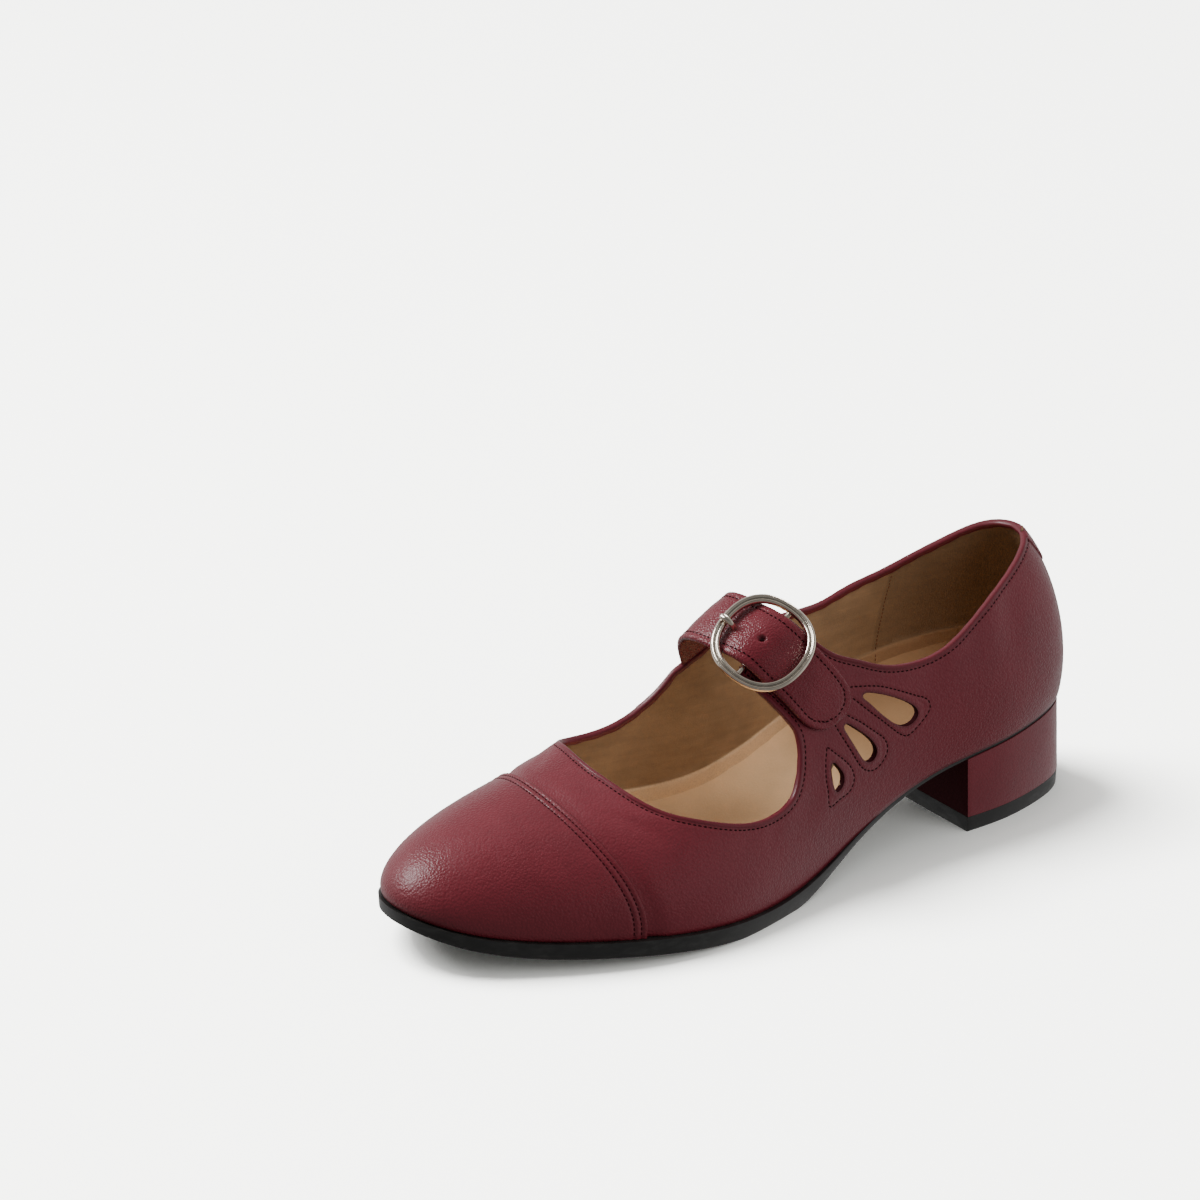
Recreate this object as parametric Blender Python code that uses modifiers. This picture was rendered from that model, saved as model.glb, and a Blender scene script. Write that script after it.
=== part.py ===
"""Left shoe of a low block heel Mary Jane pair, modelled piece by piece at its real size.

The toe points to -Y, the lateral (outer) side to +X and the floor is Z = 0.
Sizes and tables are in millimetres; MM turns them into metres when a mesh is made.
A station is the distance forward from the back of the heel, measured along the shoe.
"""

import math

import bmesh
import bpy
import numpy as np
from mathutils import Matrix, Vector

MM = 0.001
PLANK_STEPS = 44        # spans of the flat pieces from heel back to toe tip

# Driving sizes
LENGTH = 247.0          # feather line of the last, heel back to toe tip
HEEL_Y = 123.65         # where station 0 lies
CENTRE_X = -3.5         # places the axis of the heel so that the whole shoe is centred
HEEL_RADIUS = 26.5      # plan radius of the last at the back of the heel
TOE_RADIUS = 22.0       # plan radius of the last at the toe tip
WALL = 1.8              # leather and lining together
GAP = 0.3               # clearance between pieces that touch
SEAM_GAP = 0.5          # between the strap and the medial ear it is sewn to
CAP_THICKNESS = 0.9
CAP_DROP = 0.9          # how far the upper is set in under the toe cap
CAP_STATION = 196.0     # toe cap seam on the ridge
CAP_SWEEP = 8.5         # how far the seam runs back at the ball of the foot
CAP_HALF_WIDTH = 42.0   # where that sweep is measured
CAP_UNDERLAP = 6.0      # the upper starts to dip this far behind the seam
CAP_SLOPE = 5.0         # and is down at full depth after this much more
INSOLE_THICKNESS = 2.6
HEEL_BREAST = 52.5      # station of the front face of the heel
TOP_LIFT = 5.0
HEEL_TOP_EDGE = -0.3    # how far the heel stands out from the feather line, at its top
HEEL_FOOT_EDGE = 0.5    # and at its foot
STRAP_WIDTH = 20.4
STRAP_THICKNESS = 2.0
STRAP_STATION = 124.4   # where the strap crosses the ridge
STRAP_START = -20.0     # seam on the medial side, along the strap from the ridge
STRAP_TIP = 53.0
STRAP_TIP_LENGTH = 10.0
STRAP_TIP_POWER = 2.4   # roundness of the tip
STRAP_TIP_FLAT = 0.25   # share of the width left straight at its end
STRAP_NORMAL = Vector((-0.13, 0.883, 0.469)).normalized()
RING_CENTRE = 20.0      # along the strap from the ridge
RING_SHIFT = -0.4       # across the strap
RING_HEIGHT = 3.3       # above the last
RING_RADIUS = 15.1
RING_WIRE = 1.45
BAR_RADIUS = 0.8
BAR_DROP = 1.2
PRONG_RADIUS = 0.85
PRONG_SHIFT = -0.5      # across the strap, from the ring's middle
TAB_THICKNESS = 0.7
TAB_WIDTH = 9.0
SLOT_WIDTH = 3.0
SLOT_DEPTH = 6.0        # the slot cutters reach this far to either side of the ring's plane
PRONG_SLOT = (-11.0, -5.8)      # from and to, along the ring's plane
TAB_SLOT = (-6.0, 1.2)

# station, sideways place of the middle, half width
OUTLINE = [
    (12, 0.0, 20.5),
    (35, 0.0, 27.5),
    (65, 0.75, 27.25),
    (100, 4.25, 27.25),
    (135, 6.85, 33.85),
    (160, 5.75, 39.75),
    (180, 2.75, 41.25),
    (200, 0.5, 37.0),
    (220, -2.5, 30.0),
    (236, -3.5, 20.5),
]
TIP_SHIFT = -3.5        # sideways place of the toe tip
# station, height of the feather line
FEATHER = [
    (0, 31.5),
    (30, 28.5),
    (60, 25.0),
    (90, 16.5),
    (120, 6.5),
    (145, 5.0),
    (170, 7.0),
    (200, 9.3),
    (225, 11.8),
    (237, 14.4),
    (247, 17.7),
]
# station, sideways shift, height of the ridge of the last
RIDGE = [
    (30, 0, 98.5),
    (70, -2, 101.5),
    (105, -6, 91.0),
    (135, -8, 72.5),
    (160, -8, 56.5),
    (185, -7, 45.5),
    (205, -5, 42.0),
    (222, -3, 38.0),
]
# station, outward lean, rise and shoulder of the wall: lateral, then medial
PROFILE = [
    (0, 6.5, 24, 0.72, 6.5, 24, 0.72),
    (30, 4.5, 25, 0.60, 4.5, 25, 0.60),
    (65, 4.0, 30, 0.80, 4.0, 32, 0.80),
    (110, 3.0, 30, 0.75, 3.0, 34, 0.80),
    (160, 3.0, 22, 0.65, 2.0, 26, 0.70),
    (200, 2.5, 15, 0.65, 2.5, 17, 0.65),
    (247, 3.5, 4, 0.85, 3.5, 4, 0.85),
]
# station, height of the collar and throat edge: lateral, medial
OPENING = [
    (0, 87.0, 87.0),
    (12, 87.0, 85.2),
    (24, 81.7, 80.1),
    (36, 76.3, 74.3),
    (48, 70.5, 69.7),
    (60, 65.4, 67.4),
    (72, 62.9, 64.9),
    (80, 63.5, 64.9),
    (88, 66.0, 64.4),
    (96, 67.7, 65.0),
    (108, 59.7, 66.8),
    (118, 53.4, 61.0),
    (124, 39.1, 58.0),
    (130, 33.8, 57.3),
    (138, 32.5, 50.9),
    (150, 34.0, 43.2),
    (162, 37.4, 41.5),
    (180, 42.2, 39.7),
]
THROAT_STATION = 182.3
THROAT_CORNER = (16.0, 26.0)    # rounding of the throat's front corners: lateral, medial
EAR_CORNER = 10.0       # rounding where the strap ears rise from the edge
EAR_HALF_WIDTH = 12.0   # of the lateral ear
EAR_PAST_BAR = 1.0      # how far the lateral ear reaches past the bar
SIDE_BLEND = 24.0       # width over which the lateral edge passes into the medial one
# tip station and height, end station and height, end radius of each cut-out
TEARDROPS = [
    (95.0, 58.0, 77.9, 47.8, 4.5),
    (103.0, 51.0, 93.7, 40.1, 3.8),
    (109.5, 40.8, 107.0, 33.8, 2.8),
]
TEARDROP_TIP = 0.7          # radius at the pointed end
TEARDROP_REACH = (12.0, 45.0)   # where the cutters begin and end, sideways
# station, how far the sole edge stands out, sole thickness
SOLE = [
    (0, -0.4, 1.2),
    (62, -0.4, 1.2),
    (85, -0.1, 1.7),
    (105, 0.6, 2.6),
    (125, 1.3, 4.8),
    (145, 1.6, 5.3),
    (200, 1.7, 4.9),
    (235, 1.7, 4.3),
    (247, 1.7, 3.6),
]
# station, inset of the insole from the feather line
INSOLE = [
    (0, 2.4),
    (60, 2.4),
    (120, 2.4),
    (165, 2.5),
    (200, 3.3),
    (247, 3.3),
]
# along the strap, height of its underside over the last
STRAP_HEIGHT = [
    (-24, -1.9),
    (-12, -0.8),
    (0, 0.6),
    (5, 1.1),
    (9, 1.25),
    (13, 2.6),
    (20, 4.2),
    (25, 3.0),
    (29, 1.45),
    (33, 1.0),
    (42, 0.55),
    (53, 0.35),
]
STRAP_DOME = 0.9        # how far the strap's edges droop over the bar
STRAP_DOME_LENGTH = 12.0
# along the ring's plane and above it: the tab's path round the bar
TAB_PATH = [
    (8.0, -3.65),
    (4.5, -2.3),
    (1.7, -0.8),
    (0.95, -0.25),
    (0.0, 0.15),
    (-0.95, -0.25),
    (-1.35, -1.2),
    (-0.95, -2.15),
    (0.0, -2.55),
]
PRONG_PATH = [
    (-1.1, -1.2),
    (-5.5, -1.9),
    (-8.3, -0.3),
    (-10.9, 2.0),
    (-15.1, 2.75),
    (-17.3, 2.5),
]

BURGUNDY = (0.19, 0.03, 0.045)
BLACK = (0.025, 0.025, 0.025)
TAN = (0.48, 0.29, 0.15)
NICKEL = (0.6, 0.57, 0.52)

HALF = LENGTH / 2
RIDGE_BLEND = 14.0      # length over which the wall profiles begin to fan out


# Curves through short tables

def spline(xs, ys):
    """Natural cubic spline through the points, as a function that keeps to their range."""
    xs = np.asarray(xs, float)
    ys = np.asarray(ys, float)
    count = len(xs)
    step = np.diff(xs)
    matrix = np.eye(count)
    rhs = np.zeros(count)
    for i in range(1, count - 1):
        matrix[i, i - 1:i + 2] = (step[i - 1], 2 * (step[i - 1] + step[i]), step[i])
        rhs[i] = 6 * ((ys[i + 1] - ys[i]) / step[i] - (ys[i] - ys[i - 1]) / step[i - 1])
    bend = np.linalg.solve(matrix, rhs)

    def value(x):
        x = np.clip(np.asarray(x, float), xs[0], xs[-1])
        i = np.clip(np.searchsorted(xs, x) - 1, 0, count - 2)
        t = x - xs[i]
        h = step[i]
        slope = (ys[i + 1] - ys[i]) / h - h * (2 * bend[i] + bend[i + 1]) / 6
        return ys[i] + t * slope + t * t * bend[i] / 2 + t ** 3 * (bend[i + 1] - bend[i]) / (6 * h)

    return value


def column(rows, index):
    return spline([row[0] for row in rows], [row[index] for row in rows])


def width_factor():
    """Half width divided by the sine of the outline angle, which stays smooth at both tips."""
    stations = [0] + [row[0] for row in OUTLINE] + [LENGTH]
    factors = [math.sqrt(HEEL_RADIUS * HALF)]
    for station, _, width in OUTLINE:
        factors.append(width / math.sqrt(1 - (1 - station / HALF) ** 2))
    factors.append(math.sqrt(TOE_RADIUS * HALF))
    return spline(stations, factors)


WIDTH = width_factor()
MIDDLE = column([(0, 0.0)] + OUTLINE + [(LENGTH, TIP_SHIFT)], 1)
FEATHER_Z = column(FEATHER, 1)
RIDGE_X = column(RIDGE, 1)
RIDGE_Z = column(RIDGE, 2)
PROFILE_CURVES = [column(PROFILE, index) for index in range(1, 7)]
OPENING_LATERAL = column(OPENING, 1)
OPENING_MEDIAL = column(OPENING, 2)
SOLE_EDGE = column(SOLE, 1)
SOLE_THICKNESS = column(SOLE, 2)
INSOLE_INSET = column(INSOLE, 1)
STRAP_RISE = column(STRAP_HEIGHT, 1)


# The last: every piece is worked out from this surface

def outline(angle, outset=0.0):
    """Plan x, y and station at an outline angle: 0 heel, pi toe, positive lateral."""
    tiny = 1e-4

    def point(a):
        station = HALF * (1 - np.cos(a))
        return MIDDLE(station) + WIDTH(station) * np.sin(a), HEEL_Y - station

    x, y = point(angle)
    x0, y0 = point(angle - tiny)
    x1, y1 = point(angle + tiny)
    length = np.hypot(x1 - x0, y1 - y0)
    x = x - outset * (y1 - y0) / length
    y = y + outset * (x1 - x0) / length
    return CENTRE_X + x, y, HALF * (1 - np.cos(angle))


def spine_station(station):
    """Station on the ridge that a wall profile runs up to, fanning out at heel and toe."""
    first, final = RIDGE[0][0], RIDGE[-1][0]

    def ramp(t):
        return 0.5 * (t + np.hypot(t, RIDGE_BLEND))

    return first + ramp(station - first) - ramp(station - final)


def last(angle, rise):
    """Point on the last: rise 0 is the feather line, 1 the ridge."""
    angle, rise = np.broadcast_arrays(np.asarray(angle, float), np.asarray(rise, float))
    x, y, station = outline(angle)
    foot = np.stack([x, y, FEATHER_Z(station)], -1)
    spine = spine_station(station)
    top = np.stack([CENTRE_X + RIDGE_X(spine), HEEL_Y - spine, RIDGE_Z(spine)], -1)
    out = foot[..., :2] - top[..., :2]
    reach = np.linalg.norm(out, axis=-1)
    out = out / reach[..., None]
    slope = (RIDGE_Z(spine - 0.5) - RIDGE_Z(spine + 0.5)) * out[..., 1]
    side = np.sin(angle) >= 0
    lean, lift, shoulder = (
        np.where(side, PROFILE_CURVES[i](station), PROFILE_CURVES[i + 3](station)) for i in range(3)
    )
    low = foot.copy()
    low[..., :2] += out * lean[..., None]
    low[..., 2] += lift
    high = top.copy()
    high[..., :2] += out * (shoulder * reach)[..., None]
    high[..., 2] += slope * shoulder * reach
    t = rise[..., None]
    return (1 - t) ** 3 * foot + 3 * (1 - t) ** 2 * t * low + 3 * (1 - t) * t * t * high + t ** 3 * top


def last_normal(angle, rise):
    tiny = 1e-3
    rise = np.clip(rise, tiny, 1 - tiny)
    along = last(angle + tiny, rise) - last(angle - tiny, rise)
    up = last(angle, rise + tiny) - last(angle, rise - tiny)
    normal = np.cross(up, along)
    return normal / np.linalg.norm(normal, axis=-1, keepdims=True)


# The strap's own coordinates on the last: along it from the ridge, across it, height over the last

class StrapMap:
    STEP = 0.5
    SPAN = 46.0
    REACH = 66.0
    HALF_WIDTH = 20

    def __init__(self):
        self.origin = np.array([CENTRE_X, HEEL_Y - STRAP_STATION, float(RIDGE_Z(STRAP_STATION))])
        self.across = np.arange(-self.HALF_WIDTH, self.HALF_WIDTH + 1.0)
        self.along = np.arange(-self.SPAN, self.REACH + self.STEP / 2, self.STEP)
        self.points = self.trace()
        for _ in range(12):
            inner = self.points[:, :-2] + 2 * self.points[:, 1:-1] + self.points[:, 2:]
            self.points[:, 1:-1] = inner / 4
        normal = np.cross(np.gradient(self.points, axis=1), np.gradient(self.points, axis=0))
        self.normals = normal / np.linalg.norm(normal, axis=-1, keepdims=True)

    def trace(self):
        """Where the last meets each plane of the strap, from the medial to the lateral side."""
        count = 140
        rise = np.linspace(0.10, 1, count)[None, :] + 0 * self.across[:, None]
        normal = np.array(STRAP_NORMAL)
        halves = []
        for side in (-1, 1):
            near = np.full(rise.shape, 0.5)
            far = np.full(rise.shape, 2.7)
            for _ in range(36):
                middle = (near + far) / 2
                behind = (last(side * middle, rise) - self.origin) @ normal > self.across[:, None]
                near = np.where(behind, middle, near)
                far = np.where(behind, far, middle)
            halves.append(last(side * near, rise))
        lines = np.concatenate([halves[0][:, :-1], halves[1][:, ::-1]], axis=1)
        points = np.zeros((len(self.across), len(self.along), 3))
        for i, line in enumerate(lines):
            run = np.concatenate([[0], np.cumsum(np.linalg.norm(np.diff(line, axis=0), axis=1))])
            run -= run[count - 1]
            for k in range(3):
                points[i, :, k] = np.interp(self.along, run, line[:, k])
        return points

    def sample(self, values, along, across):
        i = np.clip(across + self.HALF_WIDTH, 0, len(self.across) - 1.001)
        j = np.clip((along + self.SPAN) / self.STEP, 0, len(self.along) - 1.001)
        a = i.astype(int)
        b = j.astype(int)
        u = (i - a)[..., None]
        v = (j - b)[..., None]
        near = (1 - v) * values[a, b] + v * values[a, b + 1]
        far = (1 - v) * values[a + 1, b] + v * values[a + 1, b + 1]
        return (1 - u) * near + u * far

    def point(self, along, across, height):
        along, across, height = np.broadcast_arrays(
            np.asarray(along, float), np.asarray(across, float), np.asarray(height, float))
        normal = self.sample(self.normals, along, across)
        normal /= np.linalg.norm(normal, axis=-1, keepdims=True)
        return self.sample(self.points, along, across) + normal * height[..., None]

    def frame(self, along, across, height):
        """Point there and its directions along the strap, across it and outward."""
        point = self.point(along, across, height)
        run = self.point(along + 1, across, height) - self.point(along - 1, across, height)
        side = self.point(along, across + 8, height) - self.point(along, across - 8, height)
        run = Vector(run).normalized()
        out = run.cross(Vector(side)).normalized()
        return Vector(point), run, out.cross(run), out

    def end_plane(self, along, half_width, gap):
        """Plane through both corners of a cut across the strap, moved back by the gap."""
        front = Vector(self.point(along, -half_width, 0.0))
        rear = Vector(self.point(along, half_width, 0.0))
        out = self.frame(along, 0.0, 0.0)[3]
        normal = (rear - front).cross(out).normalized()
        return (front + rear) / 2 - normal * gap, normal


STRAP_MAP = StrapMap()
RING_POINT, RING_ALONG, RING_ACROSS, RING_OUT = STRAP_MAP.frame(RING_CENTRE, RING_SHIFT, RING_HEIGHT)
SEAM_POINT, SEAM_ALONG = STRAP_MAP.end_plane(STRAP_START, STRAP_WIDTH / 2, SEAM_GAP)


def ring_place(along, across, out):
    """World point, in millimetres, from the ring's own plane."""
    return RING_POINT + RING_ALONG * along + RING_ACROSS * across + RING_OUT * out


def ring_prism(along, out, across):
    """The same for outlines drawn along and out of that plane."""
    return ring_place(along, across, out)


# Meshes and objects

def material(name, colour, roughness, metallic=0.0):
    surface = bpy.data.materials.new(name)
    surface.use_nodes = True
    shader = surface.node_tree.nodes["Principled BSDF"]
    shader.inputs["Base Color"].default_value = (*colour, 1.0)
    shader.inputs["Roughness"].default_value = roughness
    shader.inputs["Metallic"].default_value = metallic
    surface.diffuse_color = (*colour, 1.0)
    return surface


def collection(name, hidden=False):
    group = bpy.data.collections.new(name)
    bpy.context.scene.collection.children.link(group)
    group.hide_render = hidden
    return group


def finish(name, bm, group, surface=None):
    """Turn a bmesh in millimetres into an object in metres."""
    bmesh.ops.scale(bm, vec=(MM, MM, MM), verts=bm.verts)
    bmesh.ops.recalc_face_normals(bm, faces=bm.faces)
    mesh = bpy.data.meshes.new(name)
    bm.to_mesh(mesh)
    bm.free()
    piece = bpy.data.objects.new(name, mesh)
    group.objects.link(piece)
    if surface:
        mesh.materials.append(surface)
    return piece


def smooth_step(t):
    t = np.clip(t, 0, 1)
    return t * t * (3 - 2 * t)


def smooth_minimum(a, b, blend):
    weight = np.clip(0.5 + 0.5 * (b - a) / blend, 0, 1)
    return b * (1 - weight) + a * weight - blend * weight * (1 - weight)


def crossings(level, near, far):
    """Share of the way from near to far at which the level is zero."""
    low = np.zeros(len(near))
    high = np.ones(len(near))
    below = level(near) < 0
    for _ in range(16):
        middle = (low + high) / 2
        same = (level(near + (far - near) * middle[:, None]) < 0) == below
        low = np.where(same, middle, low)
        high = np.where(same, high, middle)
    return (low + high) / 2


def cut_by_level(bm, level, snap=0.12):
    """Remove the part where level(points) is positive and leave a clean edge at zero."""
    bm.verts.ensure_lookup_table()
    values = level(np.array([v.co for v in bm.verts]))
    field = dict(zip(bm.verts, values))
    for split in (False, True):
        crossing = [e for e in bm.edges if field[e.verts[0]] * field[e.verts[1]] < 0]
        near = np.array([e.verts[0].co for e in crossing])
        far = np.array([e.verts[1].co for e in crossing])
        for edge, share in zip(crossing, crossings(level, near, far)):
            a, b = edge.verts
            if split:
                _, vert = bmesh.utils.edge_split(edge, a, share)
                field[vert] = 0.0
            elif share < snap and field[a] != 0:
                a.co = a.co.lerp(b.co, share)
                field[a] = 0.0
            elif share > 1 - snap and field[b] != 0:
                b.co = b.co.lerp(a.co, 1 - share)
                field[b] = 0.0
    edge_verts = [v for v in bm.verts if field[v] == 0.0]
    bmesh.ops.connect_verts(bm, verts=edge_verts)
    outside = [f for f in bm.faces if max(field[v] for v in f.verts) > 0]
    bmesh.ops.delete(bm, geom=outside, context='FACES')
    loose = [v for v in bm.verts if not v.link_faces]
    bmesh.ops.delete(bm, geom=loose, context='VERTS')


def last_sheet(around, levels, height):
    """The last carried outward by height(points), a sheet of quads joined along its ridge."""
    bm = bmesh.new()
    angles = np.linspace(-math.pi, math.pi, around, endpoint=False)[:, None]
    rises = np.linspace(0, 1, levels)[None, :]
    grid = last(angles, rises)
    grid = grid + last_normal(angles, rises) * height(grid)[..., None]
    verts = [[bm.verts.new(grid[i, j]) for j in range(levels - 1)] for i in range(around)]
    ridge = [bm.verts.new(grid[i, -1]) for i in range(around // 2 + 1)]
    for i in range(around):
        verts[i].append(ridge[min(i, around - i)])
    for i in range(around):
        k = (i + 1) % around
        for j in range(levels - 1):
            corners = (verts[i][j], verts[k][j], verts[k][j + 1], verts[i][j + 1])
            bm.faces.new(list(dict.fromkeys(corners)))
    return bm


def past_cap_seam(points):
    """Distance forward of the toe cap seam."""
    station = HEEL_Y - points[..., 1]
    sweep = CAP_SWEEP * ((points[..., 0] - CENTRE_X) / CAP_HALF_WIDTH) ** 2
    return station - CAP_STATION + sweep


def cap_cover(points):
    """1 under the toe cap, 0 behind it."""
    return smooth_step((past_cap_seam(points) + CAP_UNDERLAP) / CAP_SLOPE)


def outside_upper(points):
    """Negative where the upper has leather, positive in the collar and throat."""
    station = HEEL_Y - points[:, 1]
    side = points[:, 0] - CENTRE_X - RIDGE_X(station)
    lateral = side > 0
    share = smooth_step(side / SIDE_BLEND + 0.5)
    edge = share * OPENING_LATERAL(station) + (1 - share) * OPENING_MEDIAL(station)
    corner = share * THROAT_CORNER[0] + (1 - share) * THROAT_CORNER[1]
    opening = smooth_minimum(points[:, 2] - edge, THROAT_STATION - station, corner)
    across = (points - STRAP_MAP.origin) @ np.array(STRAP_NORMAL)
    past_bar = (points - np.array(RING_POINT)) @ np.array(RING_ALONG)
    past_seam = (points - np.array(SEAM_POINT)) @ np.array(SEAM_ALONG)
    lateral_ear = np.maximum(np.abs(across - RING_SHIFT) - EAR_HALF_WIDTH, -EAR_PAST_BAR - past_bar)
    medial_ear = np.maximum(np.abs(across) - STRAP_WIDTH / 2 - 0.5, past_seam)
    ear = np.where(lateral, lateral_ear, medial_ear)
    strap_room = np.minimum(past_seam, STRAP_WIDTH - np.abs(across))
    strap_room = np.where(lateral, -1.0, strap_room)
    return np.maximum(smooth_minimum(opening, ear, EAR_CORNER), strap_room)


def teardrop(tip, end, radius, steps=14):
    """Outline round a small circle at the tip and a larger one at the end."""
    tip = Vector(tip)
    end = Vector(end)
    axis = end - tip
    turn = math.atan2(axis.y, axis.x)
    spread = math.acos((TEARDROP_TIP - radius) / axis.length)
    points = []
    for centre, size, first, final in (
        (end, radius, -spread, spread),
        (tip, TEARDROP_TIP, spread, 2 * math.pi - spread),
    ):
        count = steps if centre is end else 4
        for i in range(count + 1):
            a = turn + first + (final - first) * i / count
            points.append(centre + Vector((math.cos(a), math.sin(a))) * size)
    return points


def prism(name, outline_points, depth, place, group):
    """A flat outline carried through depth; place maps x, y and depth to the world."""
    bm = bmesh.new()
    base = bm.faces.new([bm.verts.new(place(p.x, p.y, depth[0])) for p in outline_points])
    extruded = bmesh.ops.extrude_face_region(bm, geom=[base], use_keep_orig=True)
    moved = [item for item in extruded["geom"] if isinstance(item, bmesh.types.BMVert)]
    shift = place(0, 0, depth[1]) - place(0, 0, depth[0])
    bmesh.ops.translate(bm, vec=shift, verts=moved)
    cutter = finish(name, bm, group)
    cutter.display_type = 'WIRE'
    return cutter


def boolean(piece, other, operation='DIFFERENCE'):
    modifier = piece.modifiers.new(operation.title(), 'BOOLEAN')
    modifier.operation = operation
    modifier.object = other
    modifier.solver = 'EXACT'


def loft(bm, sections):
    """Close a row of equal loops into a solid."""
    size = len(sections[0])
    for near, far in zip(sections, sections[1:]):
        for k in range(size):
            bm.faces.new((near[k], near[(k + 1) % size], far[(k + 1) % size], far[k]))
    bm.faces.new(sections[0])
    bm.faces.new(sections[-1])


def plank(name, stations, rows, group, surface):
    """A solid laid across the shoe.

    rows(angles) gives the outline's outset and height at the top, then at the bottom.
    """
    first, final = stations
    start = math.acos(1 - first / HALF)
    stop = math.acos(1 - final / HALF)
    count = round(PLANK_STEPS * (stop - start) / math.pi)
    angles = np.linspace(start, stop, count + 1)
    bm = bmesh.new()
    rings = []
    for angle in angles:
        top_outset, top_z, low_outset, low_z = rows(HALF * (1 - math.cos(angle)))
        ring = []
        for side, outset, z in (
            (1, top_outset, top_z),
            (-1, top_outset, top_z),
            (-1, low_outset, low_z),
            (1, low_outset, low_z),
        ):
            x, y, _ = outline(np.float64(side * angle), outset)
            ring.append(bm.verts.new((x, y, z)))
        rings.append(ring)
    loft(bm, rings)
    bmesh.ops.remove_doubles(bm, verts=bm.verts, dist=0.05)
    return finish(name, bm, group, surface)


def strap_band(name, along, half_width, underside, thickness, group, surface, columns=5):
    """A band on the strap's own coordinates with a flat top and underside."""
    bm = bmesh.new()
    spread = np.linspace(-1, 1, columns)
    sections = []
    for t in along:
        across = spread * half_width(t)
        low = STRAP_MAP.point(t, across, underside(t, across))
        high = STRAP_MAP.point(t, across, underside(t, across) + thickness)
        loop = [bm.verts.new(p) for p in low]
        loop += [bm.verts.new(p) for p in high[::-1]]
        sections.append(loop)
    loft(bm, sections)
    return finish(name, bm, group, surface)


def slot_cutter(name, ends, group):
    """A box across the ring's plane, as wide as the prong needs."""
    first, final = ends
    corners = ((first, -SLOT_DEPTH), (final, -SLOT_DEPTH), (final, SLOT_DEPTH), (first, SLOT_DEPTH))
    half = SLOT_WIDTH / 2
    return prism(name, [Vector(c) for c in corners], (-half, half), ring_prism, group)


# The pieces

def build_upper(group, cutters, surface):
    bm = last_sheet(108, 19, lambda points: -CAP_DROP * cap_cover(points))
    cut_by_level(bm, outside_upper)
    upper = finish("upper", bm, group, surface)
    shell = upper.modifiers.new("Wall", 'SOLIDIFY')
    shell.thickness = WALL * MM
    shell.offset = -1.0
    shell.use_even_offset = True
    for number, (tip_s, tip_z, end_s, end_z, radius) in enumerate(TEARDROPS, 1):
        points = teardrop((HEEL_Y - tip_s, tip_z), (HEEL_Y - end_s, end_z), radius)
        cutter = prism(
            f"teardrop_{number}", points, TEARDROP_REACH, lambda a, b, d: Vector((d, a, b)), cutters)
        boolean(upper, cutter)


def build_toe_cap(group, surface):
    height = CAP_THICKNESS + GAP - CAP_DROP
    bm = last_sheet(100, 18, lambda points: np.full(points.shape[:-1], height))
    cut_by_level(bm, lambda points: -past_cap_seam(points))
    cap = finish("toe_cap", bm, group, surface)
    shell = cap.modifiers.new("Overlay", 'SOLIDIFY')
    shell.thickness = CAP_THICKNESS * MM
    shell.offset = -1.0


def build_bottom(group, sole, heel, lift, insole):
    def outsole_rows(s):
        top = float(FEATHER_Z(s)) - GAP
        edge = float(SOLE_EDGE(s))
        return edge, top, edge, max(0.0, top - float(SOLE_THICKNESS(s)))

    def insole_rows(s):
        inset = -float(INSOLE_INSET(s))
        floor = float(FEATHER_Z(s))
        return inset, floor + INSOLE_THICKNESS, inset, floor

    def heel_rows(s):
        seat = float(FEATHER_Z(s)) - GAP - float(SOLE_THICKNESS(s)) - GAP
        return HEEL_TOP_EDGE, seat, HEEL_FOOT_EDGE, TOP_LIFT + GAP

    def lift_rows(_):
        return HEEL_FOOT_EDGE, TOP_LIFT, HEEL_FOOT_EDGE, 0.0

    plank("outsole", (0, LENGTH), outsole_rows, group, sole)
    plank("insole", (0, LENGTH), insole_rows, group, insole)
    plank("heel_block", (0, HEEL_BREAST), heel_rows, group, heel)
    plank("top_lift", (0, HEEL_BREAST), lift_rows, group, lift)


def strap_half_width(t):
    past = max(0.0, (t - STRAP_TIP + STRAP_TIP_LENGTH) / STRAP_TIP_LENGTH)
    round_tip = max(0.0, 1 - past ** STRAP_TIP_POWER) ** (1 / STRAP_TIP_POWER)
    return STRAP_WIDTH / 2 * max(STRAP_TIP_FLAT, round_tip)


def strap_underside(t, across):
    dome = STRAP_DOME * math.exp(-((t - RING_CENTRE) / STRAP_DOME_LENGTH) ** 2)
    return STRAP_RISE(t) - dome * (2 * across / STRAP_WIDTH) ** 4


def build_strap(group, cutters, surface):
    straight = STRAP_TIP - STRAP_TIP_LENGTH
    along = np.concatenate([
        np.linspace(STRAP_START, straight, 31),
        np.linspace(straight, STRAP_TIP, 8)[1:],
    ])
    strap = strap_band(
        "strap", along, strap_half_width, strap_underside, STRAP_THICKNESS, group, surface)
    boolean(strap, slot_cutter("prong_slot", PRONG_SLOT, cutters))


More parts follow.
